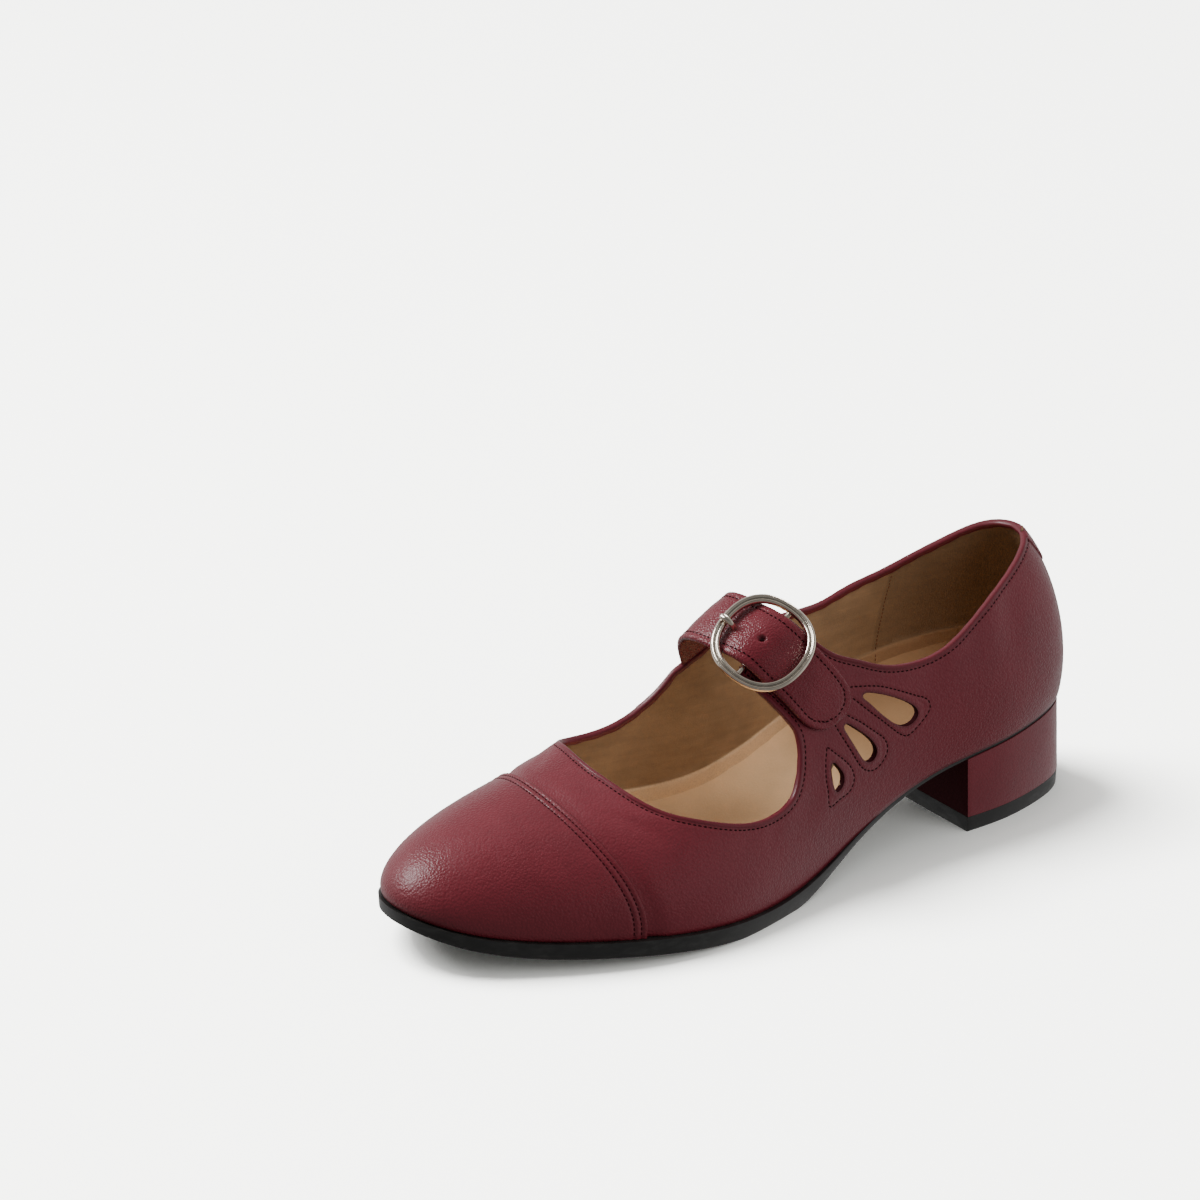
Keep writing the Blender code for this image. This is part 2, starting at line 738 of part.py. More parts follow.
def build_buckle(group, cutters, metal, leather):
    turn = Matrix((RING_ALONG, RING_ACROSS, RING_OUT)).transposed()
    bpy.ops.mesh.primitive_torus_add(
        major_radius=RING_RADIUS * MM, minor_radius=RING_WIRE * MM,
        major_segments=40, minor_segments=10,
        location=RING_POINT * MM, rotation=turn.to_euler())
    ring = bpy.context.object
    move_to(ring, group, "buckle_ring", metal)
    bar_turn = Matrix((RING_OUT, RING_ALONG, RING_ACROSS)).transposed()
    bpy.ops.mesh.primitive_cylinder_add(
        vertices=10, radius=BAR_RADIUS * MM, depth=2 * RING_RADIUS * MM,
        location=ring_place(0, 0, -BAR_DROP) * MM, rotation=bar_turn.to_euler())
    bar = bpy.context.object
    move_to(bar, cutters, "buckle_bar")
    bar.display_type = 'WIRE'
    boolean(ring, bar, 'UNION')
    build_prong(group, metal)
    build_tab(group, cutters, leather)


def move_to(piece, group, name, surface=None):
    for owner in list(piece.users_collection):
        owner.objects.unlink(piece)
    group.objects.link(piece)
    piece.name = name
    piece.data.name = name
    if surface:
        piece.data.materials.append(surface)


def build_prong(group, metal):
    curve = bpy.data.curves.new("buckle_prong", 'CURVE')
    curve.dimensions = '3D'
    curve.bevel_depth = PRONG_RADIUS * MM
    curve.bevel_resolution = 2
    curve.resolution_u = 4
    curve.use_fill_caps = True
    path = curve.splines.new('BEZIER')
    path.bezier_points.add(len(PRONG_PATH) - 1)
    for point, (along, out) in zip(path.bezier_points, PRONG_PATH):
        point.co = ring_place(along, PRONG_SHIFT, out) * MM
        point.handle_left_type = 'AUTO'
        point.handle_right_type = 'AUTO'
    prong = bpy.data.objects.new("buckle_prong", curve)
    group.objects.link(prong)
    curve.materials.append(metal)


def build_tab(group, cutters, leather):
    """The leather loop that holds the bar, its two layers pressed flat on the lateral ear."""
    centres = [Vector(p) for p in TAB_PATH]
    sides = []
    for i, point in enumerate(centres):
        before = centres[max(0, i - 1)]
        after = centres[min(len(centres) - 1, i + 1)]
        run = (after - before).normalized()
        sides.append(Vector((-run.y, run.x)) * TAB_THICKNESS / 2)
    shape = [p + s for p, s in zip(centres, sides)]
    shape += [p - s for p, s in reversed(list(zip(centres, sides)))]
    half = TAB_WIDTH / 2
    tab = prism("buckle_tab", shape, (-half, half), ring_prism, group)
    tab.display_type = 'TEXTURED'
    tab.data.materials.append(leather)
    boolean(tab, slot_cutter("tab_slot", TAB_SLOT, cutters))


def main():
    for piece in list(bpy.data.objects):
        bpy.data.objects.remove(piece, do_unlink=True)
    shoe = collection("mary_jane_shoe")
    cutters = collection("cutters", hidden=True)
    build_upper(shoe, cutters, material("upper_leather", BURGUNDY, 0.42))
    build_toe_cap(shoe, material("cap_leather", BURGUNDY, 0.38))
    build_bottom(
        shoe,
        material("sole_rubber", BLACK, 0.5),
        material("heel_leather", BURGUNDY, 0.45),
        material("lift_rubber", BLACK, 0.6),
        material("insole_leather", TAN, 0.6),
    )
    build_strap(shoe, cutters, material("strap_leather", BURGUNDY, 0.42))
    build_buckle(
        shoe,
        cutters,
        material("buckle_metal", NICKEL, 0.28, 1.0),
        material("tab_leather", BURGUNDY, 0.5),
    )


if __name__ == "__main__":
    main()
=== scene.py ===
"""Finished surface of a left Mary Jane shoe, laid out as a Blender add-on and run as a script.

Sizes are in millimetres and MM turns them into metres. The toe points to -Y, the lateral side
to +X. A station is the distance forward from the back of the heel. The last, the foot form that
the shoe is made on, gives every leather piece its shape; seams and stitch rows are laid on it.
"""

import math

import bmesh
import bpy
import numpy as np
from mathutils import Matrix, Vector
from mathutils.bvhtree import BVHTree
from mathutils.kdtree import KDTree


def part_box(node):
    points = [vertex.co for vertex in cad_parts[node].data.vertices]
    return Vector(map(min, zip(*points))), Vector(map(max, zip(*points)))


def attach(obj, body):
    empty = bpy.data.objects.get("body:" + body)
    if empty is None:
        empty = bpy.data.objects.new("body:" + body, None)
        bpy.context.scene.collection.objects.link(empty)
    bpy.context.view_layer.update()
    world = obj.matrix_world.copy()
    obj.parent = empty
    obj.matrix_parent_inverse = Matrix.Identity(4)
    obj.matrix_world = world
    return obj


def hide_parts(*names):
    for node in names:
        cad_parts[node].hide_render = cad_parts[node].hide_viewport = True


bl_info = {
    "name": "Mary Jane shoe",
    "version": (1, 0, 0),
    "blender": (4, 5, 0),
    "location": "View3D > Sidebar > Shoe",
    "description": "Builds the finished surface of a Mary Jane shoe around its solid model",
    "category": "Object",
}

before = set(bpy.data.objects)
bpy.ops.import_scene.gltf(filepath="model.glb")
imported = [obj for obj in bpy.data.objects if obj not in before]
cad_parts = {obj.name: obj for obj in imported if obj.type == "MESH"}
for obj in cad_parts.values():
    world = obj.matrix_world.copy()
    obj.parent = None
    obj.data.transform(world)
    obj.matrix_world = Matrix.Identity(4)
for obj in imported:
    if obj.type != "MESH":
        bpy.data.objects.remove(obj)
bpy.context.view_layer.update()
MM = 0.001

# Sizes of the last and its pieces, which repeat those of the solid model
LENGTH = 247.0
HALF = LENGTH / 2
HEEL_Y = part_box("insole")[1].y / MM + 2.4
CENTRE_X = -3.5
HEEL_RADIUS = 26.5
TOE_RADIUS = 22.0
RIDGE_BLEND = 14.0
WALL = 1.8
CAP_STATION = 196.0
CAP_SWEEP = 8.5
CAP_HALF_WIDTH = 42.0
CAP_UNDERLAP = 6.0
CAP_SLOPE = 5.0
CAP_DROP = 0.9
CAP_PROUD = 0.3
HEEL_BREAST = 52.5
TOP_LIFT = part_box("top_lift")[1].z / MM
STRAP_WIDTH = 20.4
STRAP_STATION = 124.4
STRAP_START = -20.0
STRAP_TIP = 53.0
STRAP_NORMAL = Vector((-0.13, 0.883, 0.469)).normalized()
SEAM_GAP = 0.5
RING_CENTRE = 20.0
RING_SHIFT = -0.4
RING_HEIGHT = 3.3
RING_RADIUS = 14.35
BAR_RADIUS = 0.8
BAR_DROP = 1.2
THROAT_STATION = 182.3
THROAT_CORNER = (16.0, 26.0)
EAR_CORNER = 10.0
EAR_REAR_CORNER = 9.0
EAR_HALF_WIDTH = 12.0
EAR_PAST_BAR = 1.0
SIDE_BLEND = 24.0

# station, sideways place of the middle, half width
OUTLINE = [
    (12, 0.0, 20.5),
    (35, 0.0, 27.5),
    (65, 0.75, 27.25),
    (100, 4.25, 27.25),
    (135, 6.85, 33.85),
    (160, 5.75, 39.75),
    (180, 2.75, 41.25),
    (200, 0.5, 37.0),
    (220, -2.5, 30.0),
    (236, -3.5, 20.5),
]
TIP_SHIFT = -3.5
# station, height of the feather line
FEATHER = [
    (0, 31.5),
    (30, 28.5),
    (60, 25.0),
    (90, 16.5),
    (120, 6.5),
    (145, 5.0),
    (170, 7.0),
    (200, 9.3),
    (225, 11.8),
    (237, 14.4),
    (247, 17.7),
]
# station, sideways shift, height of the ridge of the last
RIDGE = [
    (30, 0, 98.5),
    (70, -2, 101.5),
    (105, -6, 91.0),
    (135, -8, 72.5),
    (160, -8, 56.5),
    (185, -7, 45.5),
    (205, -5, 42.0),
    (222, -3, 38.0),
]
# station, outward lean, rise and shoulder of the wall: lateral, then medial
PROFILE = [
    (0, 6.5, 24, 0.72, 6.5, 24, 0.72),
    (30, 4.5, 25, 0.60, 4.5, 25, 0.60),
    (65, 4.0, 30, 0.80, 4.0, 32, 0.80),
    (110, 3.0, 30, 0.75, 3.0, 34, 0.80),
    (160, 3.0, 22, 0.65, 2.0, 26, 0.70),
    (200, 2.5, 15, 0.65, 2.5, 17, 0.65),
    (247, 3.5, 4, 0.85, 3.5, 4, 0.85),
]
# station, height of the collar and throat edge: lateral, medial
OPENING = [
    (0, 87.0, 87.0),
    (12, 87.0, 85.2),
    (24, 81.7, 80.1),
    (36, 76.3, 74.3),
    (48, 70.5, 69.7),
    (60, 64.8, 67.4),
    (72, 62.9, 64.9),
    (80, 63.5, 65.2),
    (88, 64.6, 66.0),
    (96, 65.2, 67.6),
    (108, 60.0, 69.6),
    (118, 53.0, 63.0),
    (124, 39.1, 58.0),
    (130, 33.8, 57.3),
    (138, 32.5, 50.9),
    (150, 34.0, 43.2),
    (162, 37.4, 41.5),
    (180, 42.2, 39.7),
]
# station and height round each cut-out in the lateral quarter
CUTOUTS = [
    [(95.2, 57.7), (93.4, 58.9), (88.0, 57.0), (82.5, 54.5), (77.3, 51.5), (74.0, 48.8),
     (73.4, 46.2), (75.6, 44.1), (79.2, 43.7), (83.5, 46.1), (88.7, 51.0), (92.6, 55.4)],
    [(103.7, 50.5), (102.2, 51.6), (98.0, 48.3), (94.0, 44.8), (91.3, 41.5), (90.6, 38.8),
     (92.0, 36.7), (94.4, 36.4), (96.5, 37.7), (99.2, 42.2), (102.0, 47.3)],
    [(110.3, 40.3), (109.1, 41.4), (106.9, 38.7), (105.2, 36.1), (105.2, 33.6), (106.7, 31.7),
     (108.8, 31.1), (109.9, 33.0), (110.4, 37.0)],
]
# the same along the stitch line round each, the first two from under the strap and back
CUTOUT_ROWS = [
    [(99.0, 61.6), (92.2, 60.4), (87.7, 59.2), (82.5, 57.0), (77.2, 54.4), (72.4, 52.0),
     (69.2, 49.8), (68.8, 47.2), (70.9, 44.6), (74.5, 42.0), (78.2, 40.6), (81.0, 42.0),
     (85.8, 46.3), (92.0, 52.0), (98.5, 58.2)],
    [(104.0, 56.0), (101.2, 53.5), (97.6, 51.0), (93.9, 48.0), (90.0, 44.7), (87.0, 41.5),
     (86.3, 38.2), (88.1, 35.2), (91.3, 33.4), (94.6, 33.8), (97.5, 36.0), (100.8, 41.3),
     (104.2, 47.3), (106.8, 52.4)],
    [(110.9, 46.4), (107.6, 43.3), (103.5, 39.3), (101.1, 35.4), (101.2, 31.8), (103.6, 29.4),
     (107.5, 28.6), (112.1, 27.8), (112.4, 31.3), (112.6, 36.5), (112.1, 42.0), (110.9, 46.4)],
]
# station, how far the sole edge stands out, sole thickness
SOLE = [
    (0, -0.4, 1.2),
    (62, -0.4, 1.2),
    (85, -0.1, 1.7),
    (105, 0.6, 2.6),
    (125, 1.3, 4.8),
    (145, 1.6, 5.3),
    (200, 1.7, 4.9),
    (235, 1.7, 4.3),
    (247, 1.7, 3.6),
]
# along the strap, height of its underside over the last
STRAP_HEIGHT = [
    (-26, -1.7),
    (-20, -1.5),
    (-12, -0.8),
    (0, 0.6),
    (5, 1.1),
    (9, 1.25),
    (13, 2.6),
    (20, 4.2),
    (25, 3.0),
    (29, 1.45),
    (33, 1.0),
    (42, 0.55),
    (53, 0.35),
]
# along the strap, its thickness: thinned where it runs under the quarter
STRAP_THICKNESS = [
    (-26, 0.9),
    (-20, 1.2),
    (-12, 1.8),
    (0, 2.0),
    (53, 2.0),
]
STRAP_DOME = 0.9
STRAP_DOME_LENGTH = 12.0


# Curves through short tables

def spline(xs, ys):
    """Natural cubic spline through the points, as a function that keeps to their range."""
    xs = np.asarray(xs, float)
    ys = np.asarray(ys, float)
    count = len(xs)
    step = np.diff(xs)
    matrix = np.eye(count)
    rhs = np.zeros(count)
    for i in range(1, count - 1):
        matrix[i, i - 1:i + 2] = (step[i - 1], 2 * (step[i - 1] + step[i]), step[i])
        rhs[i] = 6 * ((ys[i + 1] - ys[i]) / step[i] - (ys[i] - ys[i - 1]) / step[i - 1])
    bend = np.linalg.solve(matrix, rhs)

    def value(x):
        x = np.clip(np.asarray(x, float), xs[0], xs[-1])
        i = np.clip(np.searchsorted(xs, x) - 1, 0, count - 2)
        t = x - xs[i]
        h = step[i]
        slope = (ys[i + 1] - ys[i]) / h - h * (2 * bend[i] + bend[i + 1]) / 6
        return ys[i] + t * slope + t * t * bend[i] / 2 + t ** 3 * (bend[i + 1] - bend[i]) / (6 * h)

    return value


def column(rows, index):
    return spline([row[0] for row in rows], [row[index] for row in rows])


def run_along(points):
    """Distance along a row from its first point to each."""
    return np.concatenate([[0], np.cumsum(np.linalg.norm(np.diff(points, axis=0), axis=1))])


def halved(near, far, is_near, times):
    """Both bounds, brought together by halves where is_near(values) stops being true."""
    for _ in range(times):
        middle = (near + far) / 2
        same = is_near(middle)
        near = np.where(same, middle, near)
        far = np.where(same, far, middle)
    return near, far


def width_factor():
    """Half width divided by the sine of the outline angle, which stays smooth at both tips."""
    stations = [0] + [row[0] for row in OUTLINE] + [LENGTH]
    factors = [math.sqrt(HEEL_RADIUS * HALF)]
    for station, _, width in OUTLINE:
        factors.append(width / math.sqrt(1 - (1 - station / HALF) ** 2))
    factors.append(math.sqrt(TOE_RADIUS * HALF))
    return spline(stations, factors)


WIDTH = width_factor()
MIDDLE = column([(0, 0.0)] + OUTLINE + [(LENGTH, TIP_SHIFT)], 1)
FEATHER_Z = column(FEATHER, 1)
RIDGE_X = column(RIDGE, 1)
RIDGE_Z = column(RIDGE, 2)
PROFILE_CURVES = [column(PROFILE, index) for index in range(1, 7)]
OPENING_LATERAL = column(OPENING, 1)
OPENING_MEDIAL = column(OPENING, 2)
SOLE_EDGE = column(SOLE, 1)
SOLE_THICKNESS = column(SOLE, 2)
STRAP_RISE = column(STRAP_HEIGHT, 1)
STRAP_WALL = column(STRAP_THICKNESS, 1)


# The last: every leather piece is worked out from this surface

def outline(angle, outset=0.0):
    """Plan x, y and station at an outline angle: 0 heel, pi toe, positive lateral."""
    tiny = 1e-4

    def point(a):
        station = HALF * (1 - np.cos(a))
        return MIDDLE(station) + WIDTH(station) * np.sin(a), HEEL_Y - station

    x, y = point(angle)
    x0, y0 = point(angle - tiny)
    x1, y1 = point(angle + tiny)
    length = np.hypot(x1 - x0, y1 - y0)
    x = x - outset * (y1 - y0) / length
    y = y + outset * (x1 - x0) / length
    return CENTRE_X + x, y, HALF * (1 - np.cos(angle))


def spine_station(station):
    """Station on the ridge that a wall profile runs up to, fanning out at heel and toe."""
    first, final = RIDGE[0][0], RIDGE[-1][0]

    def ramp(t):
        return 0.5 * (t + np.hypot(t, RIDGE_BLEND))

    return first + ramp(station - first) - ramp(station - final)


def last(angle, rise):
    """Point on the last: rise 0 is the feather line, 1 the ridge."""
    angle, rise = np.broadcast_arrays(np.asarray(angle, float), np.asarray(rise, float))
    x, y, station = outline(angle)
    foot = np.stack([x, y, FEATHER_Z(station)], -1)
    spine = spine_station(station)
    top = np.stack([CENTRE_X + RIDGE_X(spine), HEEL_Y - spine, RIDGE_Z(spine)], -1)
    out = foot[..., :2] - top[..., :2]
    reach = np.linalg.norm(out, axis=-1)
    out = out / reach[..., None]
    slope = (RIDGE_Z(spine - 0.5) - RIDGE_Z(spine + 0.5)) * out[..., 1]
    side = np.sin(angle) >= 0
    lean, lift, shoulder = (
        np.where(side, PROFILE_CURVES[i](station), PROFILE_CURVES[i + 3](station)) for i in range(3)
    )
    low = foot.copy()
    low[..., :2] += out * lean[..., None]
    low[..., 2] += lift
    high = top.copy()
    high[..., :2] += out * (shoulder * reach)[..., None]
    high[..., 2] += slope * shoulder * reach
    t = rise[..., None]
    lower = (1 - t) ** 3 * foot + 3 * (1 - t) ** 2 * t * low
    return lower + 3 * (1 - t) * t * t * high + t ** 3 * top


# The strap's own coordinates on the last: along it from the ridge, across it, height over the last

class StrapMap:
    STEP = 0.5
    SPAN = 46.0
    REACH = 66.0
    HALF_WIDTH = 20
    TRACED = 140
    LOWEST_RISE = 0.10
    ANGLES = (0.5, 2.7)
    SMOOTHED = 12

    def __init__(self):
        self.origin = np.array([CENTRE_X, HEEL_Y - STRAP_STATION, float(RIDGE_Z(STRAP_STATION))])
        self.across = np.arange(-self.HALF_WIDTH, self.HALF_WIDTH + 1.0)
        self.along = np.arange(-self.SPAN, self.REACH + self.STEP / 2, self.STEP)
        self.points = self.trace()
        for _ in range(self.SMOOTHED):
            inner = self.points[:, :-2] + 2 * self.points[:, 1:-1] + self.points[:, 2:]
            self.points[:, 1:-1] = inner / 4
        normal = np.cross(np.gradient(self.points, axis=1), np.gradient(self.points, axis=0))
        self.normals = normal / np.linalg.norm(normal, axis=-1, keepdims=True)

    def trace(self):
        """Where the last meets each plane of the strap, from the medial to the lateral side."""
        rise = np.linspace(self.LOWEST_RISE, 1, self.TRACED)[None, :] + 0 * self.across[:, None]
        normal = np.array(STRAP_NORMAL)
        halves = []
        for side in (-1, 1):
            def behind(angle):
                return (last(side * angle, rise) - self.origin) @ normal > self.across[:, None]

            near, _ = halved(*(np.full(rise.shape, angle) for angle in self.ANGLES), behind, 36)
            halves.append(last(side * near, rise))
        lines = np.concatenate([halves[0][:, :-1], halves[1][:, ::-1]], axis=1)
        points = np.zeros((len(self.across), len(self.along), 3))
        for i, line in enumerate(lines):
            run = run_along(line)
            run -= run[self.TRACED - 1]
            for k in range(3):
                points[i, :, k] = np.interp(self.along, run, line[:, k])
        return points

    def sample(self, values, along, across):
        i = np.clip(across + self.HALF_WIDTH, 0, len(self.across) - 1.001)
        j = np.clip((along + self.SPAN) / self.STEP, 0, len(self.along) - 1.001)
        a = i.astype(int)
        b = j.astype(int)
        u = (i - a)[..., None]
        v = (j - b)[..., None]
        near = (1 - v) * values[a, b] + v * values[a, b + 1]
        far = (1 - v) * values[a + 1, b] + v * values[a + 1, b + 1]
        return (1 - u) * near + u * far

    def normal(self, along, across):
        along, across = np.broadcast_arrays(np.asarray(along, float), np.asarray(across, float))
        normal = self.sample(self.normals, along, across)
        return normal / np.linalg.norm(normal, axis=-1, keepdims=True)

    def point(self, along, across, height):
        along, across, height = np.broadcast_arrays(
            np.asarray(along, float), np.asarray(across, float), np.asarray(height, float))
        lift = self.normal(along, across) * height[..., None]
        return self.sample(self.points, along, across) + lift

    def frame(self, along, across, height):
        """Point there and its directions along the strap, across it and outward."""
        point = self.point(along, across, height)
        run = self.point(along + 1, across, height) - self.point(along - 1, across, height)
        side = self.point(along, across + 8, height) - self.point(along, across - 8, height)
        run = Vector(run).normalized()
        out = run.cross(Vector(side)).normalized()
        return Vector(point), run, out.cross(run), out

    def end_plane(self, along, half_width, gap):
        """Plane through both corners of a cut across the strap, moved back by the gap."""
        front = Vector(self.point(along, -half_width, 0.0))
        rear = Vector(self.point(along, half_width, 0.0))
        out = self.frame(along, 0.0, 0.0)[3]
        normal = (rear - front).cross(out).normalized()
        return (front + rear) / 2 - normal * gap, normal


STRAP_MAP = StrapMap()
RING_POINT, RING_ALONG, RING_ACROSS, RING_OUT = STRAP_MAP.frame(
    RING_CENTRE, RING_SHIFT, RING_HEIGHT)
RING_TURN = Matrix((RING_ALONG, RING_ACROSS, RING_OUT)).transposed()
SEAM_POINT, SEAM_ALONG = STRAP_MAP.end_plane(STRAP_START, STRAP_WIDTH / 2, SEAM_GAP)


def smooth_step(t):
    t = np.clip(t, 0, 1)
    return t * t * (3 - 2 * t)


def bell(distance, width):
    return np.exp(-(distance / width) ** 2)


def smooth_minimum(a, b, blend):
    weight = np.clip(0.5 + 0.5 * (b - a) / blend, 0, 1)
    return b * (1 - weight) + a * weight - blend * weight * (1 - weight)


def round_profile(points, steps=3):
    """A closed outline with its corners cut smooth."""
    points = np.asarray(points, float)
    for _ in range(steps):
        following = np.roll(points, -1, 0)
        points = np.stack([0.75 * points + 0.25 * following, 0.25 * points + 0.75 * following], 1)
        points = points.reshape(-1, 2)
    return points


CUTOUT_REACH = 12.0
CUTOUT_LINES = [round_profile(line) for line in CUTOUTS]


# Where each piece begins and ends

def past_cap_seam(points):
    """Distance forward of the toe cap seam."""
    station = HEEL_Y - points[..., 1]
    sweep = CAP_SWEEP * ((points[..., 0] - CENTRE_X) / CAP_HALF_WIDTH) ** 2
    return station - CAP_STATION + sweep


def cap_cover(points):
    """1 under the toe cap, 0 behind it."""
    return smooth_step((past_cap_seam(points) + CAP_UNDERLAP) / CAP_SLOPE)


def outside_upper(points):
    """Negative where the upper has leather, positive in the collar and throat."""
    station = HEEL_Y - points[:, 1]
    side = points[:, 0] - CENTRE_X - RIDGE_X(station)
    lateral = side > 0
    share = smooth_step(side / SIDE_BLEND + 0.5)
    edge = share * OPENING_LATERAL(station) + (1 - share) * OPENING_MEDIAL(station)
    corner = share * THROAT_CORNER[0] + (1 - share) * THROAT_CORNER[1]
    opening = smooth_minimum(points[:, 2] - edge, THROAT_STATION - station, corner)
    across = (points - STRAP_MAP.origin) @ np.array(STRAP_NORMAL)
    past_bar = (points - np.array(RING_POINT)) @ np.array(RING_ALONG)
    past_seam = (points - np.array(SEAM_POINT)) @ np.array(SEAM_ALONG)
    lateral_ear = np.maximum(np.abs(across - RING_SHIFT) - EAR_HALF_WIDTH, -EAR_PAST_BAR - past_bar)
    medial_ear = np.maximum(np.abs(across) - STRAP_WIDTH / 2 - 0.5, past_seam)
    ear = np.where(lateral, lateral_ear, medial_ear)
    strap_room = np.minimum(past_seam, STRAP_WIDTH - np.abs(across))
    strap_room = np.where(lateral, -90.0, strap_room)
    corner = EAR_CORNER + EAR_REAR_CORNER * np.where(lateral, smooth_step(across / 8), 0)
    return np.maximum(smooth_minimum(opening, ear, corner), strap_room)


def outline_distance(places, line):
    """Distance outside a closed outline of the plane, negative inside it."""
    nearest = np.full(len(places), 1e9)
    inside = np.zeros(len(places), bool)
    for start, stop in zip(line, np.roll(line, -1, 0)):
        run = stop - start
        reach = places - start
        share = np.clip(reach @ run / (run @ run), 0, 1)
        nearest = np.minimum(nearest, np.linalg.norm(reach - share[:, None] * run, axis=1))
        if run[1]:
            spans = (start[1] > places[:, 1]) != (stop[1] > places[:, 1])
            inside ^= spans & (reach[:, 0] < run[0] * reach[:, 1] / run[1])
    return np.where(inside, -nearest, nearest)


def cutout_distance(points):
    """Distance outside the nearest cut-out, negative inside one and large away from them."""
    places = np.stack([HEEL_Y - points[:, 1], points[:, 2]], -1)
    lateral = points[:, 0] > CENTRE_X + 8
    found = np.full(len(points), 50.0)
    for line in CUTOUT_LINES:
        inside = (places > line.min(0) - CUTOUT_REACH) & (places < line.max(0) + CUTOUT_REACH)
        near = lateral & inside.all(1)
        found[near] = np.minimum(found[near], outline_distance(places[near], line))
    return found


def outside_leather(points):
    """Positive wherever the upper has no leather, its cut-outs included."""
    return np.maximum(outside_upper(points), -cutout_distance(points))


# Sheets laid on the last

MERGE_DISTANCE = 0.001


def coordinates(bm):
    return np.array([vert.co for vert in bm.verts])


def paint(bm, name, values):
    """Give every vertex its value of a named attribute, which a finish reads."""
    layer = bm.verts.layers.float.new(name)
    for vert, value in zip(bm.verts, values):
        vert[layer] = value


def warped_grid(columns, rows, place):
    """A grid whose shares of its width and height are carried to place(u, v)."""
    bm = bmesh.new()
    bmesh.ops.create_grid(bm, x_segments=columns, y_segments=rows, size=0.5)
    shares = coordinates(bm) + 0.5
    for vert, point in zip(bm.verts, place(shares[:, 0], shares[:, 1])):
        vert.co = point
    bmesh.ops.remove_doubles(bm, verts=bm.verts, dist=MERGE_DISTANCE)
    bmesh.ops.dissolve_degenerate(bm, edges=bm.edges, dist=MERGE_DISTANCE / 10)
    return bm


def face_outward(bm, middle=None):
    """Turn every face away from a point: the middle of the piece, unless one is given."""
    bmesh.ops.recalc_face_normals(bm, faces=bm.faces)
    middle = middle or Vector(np.mean(coordinates(bm), axis=0))
    facing = sum((f.calc_center_median() - middle).dot(f.normal) * f.calc_area() for f in bm.faces)
    if facing < 0:
        bmesh.ops.reverse_faces(bm, faces=bm.faces)
    bm.normal_update()


def last_sheet(around, levels, turns=(-1.0, 1.0), rises=(0.0, 1.0)):
    """The last as a sheet of quads: whole, or between two shares of half a turn and of the rise."""
    def place(u, v):
        angle = math.pi * (turns[0] + (turns[1] - turns[0]) * u)
        return last(angle, rises[0] + (rises[1] - rises[0]) * v)

    bm = warped_grid(around, levels, place)
    face_outward(bm)
    return bm


def crossings(level, near, far):
    """Share of the way from near to far at which the level is zero."""
    below = level(near) < 0

    def same(share):
        return (level(near + (far - near) * share[:, None]) < 0) == below

    return sum(halved(np.zeros(len(near)), np.ones(len(near)), same, 16)) / 2


# share of an edge within which a cut takes the vertex there instead of a new one
SNAP = 0.12


def cut_by_level(bm, level, keep=False):
    """Score a clean edge where level(points) is zero; remove what lies past it unless kept."""
    field = dict(zip(bm.verts, level(coordinates(bm))))
    for split in (False, True):
        crossing = [e for e in bm.edges if field[e.verts[0]] * field[e.verts[1]] < 0]
        near = np.array([e.verts[0].co for e in crossing])
        far = np.array([e.verts[1].co for e in crossing])
        for edge, share in zip(crossing, crossings(level, near, far)):
            a, b = edge.verts
            if split:
                _, vert = bmesh.utils.edge_split(edge, a, share)
                field[vert] = 0.0
            elif share < SNAP and field[a] != 0:
                a.co = a.co.lerp(b.co, share)
                field[a] = 0.0
            elif share > 1 - SNAP and field[b] != 0:
                b.co = b.co.lerp(a.co, 1 - share)
                field[b] = 0.0
    edge_verts = [v for v in bm.verts if field[v] == 0.0]
    bmesh.ops.connect_verts(bm, verts=edge_verts)
    if keep:
        return
    outside = [f for f in bm.faces if max(field[v] for v in f.verts) > 0]
    bmesh.ops.delete(bm, geom=outside, context='FACES')
    loose = [v for v in bm.verts if not v.link_faces]
    bmesh.ops.delete(bm, geom=loose, context='VERTS')


def refine(bm, wanted):
    """Halve the faces whose middles are wanted(points)."""
    faces = list(bm.faces)
    chosen = wanted(np.array([f.calc_center_median() for f in faces]))
    edges = {edge for face, near in zip(faces, chosen) if near for edge in face.edges}
    bmesh.ops.subdivide_edges(bm, edges=list(edges), cuts=1, use_grid_fill=True)


def displace(bm, height):
    """Move every vertex along its normal by height(points)."""
    bm.normal_update()
    points = coordinates(bm)
    normals = np.array([vert.normal for vert in bm.verts])
    for vert, point in zip(bm.verts, points + normals * height(points)[:, None]):
        vert.co = point


def boundary_loops(bm):
    """Each open edge of a sheet as a closed row of vertices."""
    following = {}
    for edge in bm.edges:
        if edge.is_boundary:
            loop = edge.link_loops[0]
            following[loop.vert] = loop.link_loop_next.vert
    loops = []
    while following:
        vert, after = following.popitem()
        row = [vert]
        while after in following:
            row.append(after)
            after = following.pop(after)
        loops.append(row)
    return loops


# Rows along an edge or a seam

def between(run, points, places):
    """Points at some distances along a row, between its own."""
    return np.stack([np.interp(places, run, points[:, k]) for k in range(3)], -1)


def resample(points, spacing):
    """Evenly spaced points along a closed row."""
    points = np.vstack([points, points[:1]])
    run = run_along(points)
    count = max(3, round(run[-1] / spacing))
    return between(run, points, np.linspace(0, run[-1], count, endpoint=False))


def smooth_row(values, times):
    """A closed row, evened out that many times."""
    for _ in range(times):
        values = (np.roll(values, 1, 0) + 2 * values + np.roll(values, -1, 0)) / 4
    return values


def unit(vectors):
    return vectors / np.maximum(np.linalg.norm(vectors, axis=-1, keepdims=True), 1e-9)


def tangents(points, closed):
    if closed:
        return unit(np.roll(points, -1, 0) - np.roll(points, 1, 0))
    return unit(np.gradient(points, axis=0))


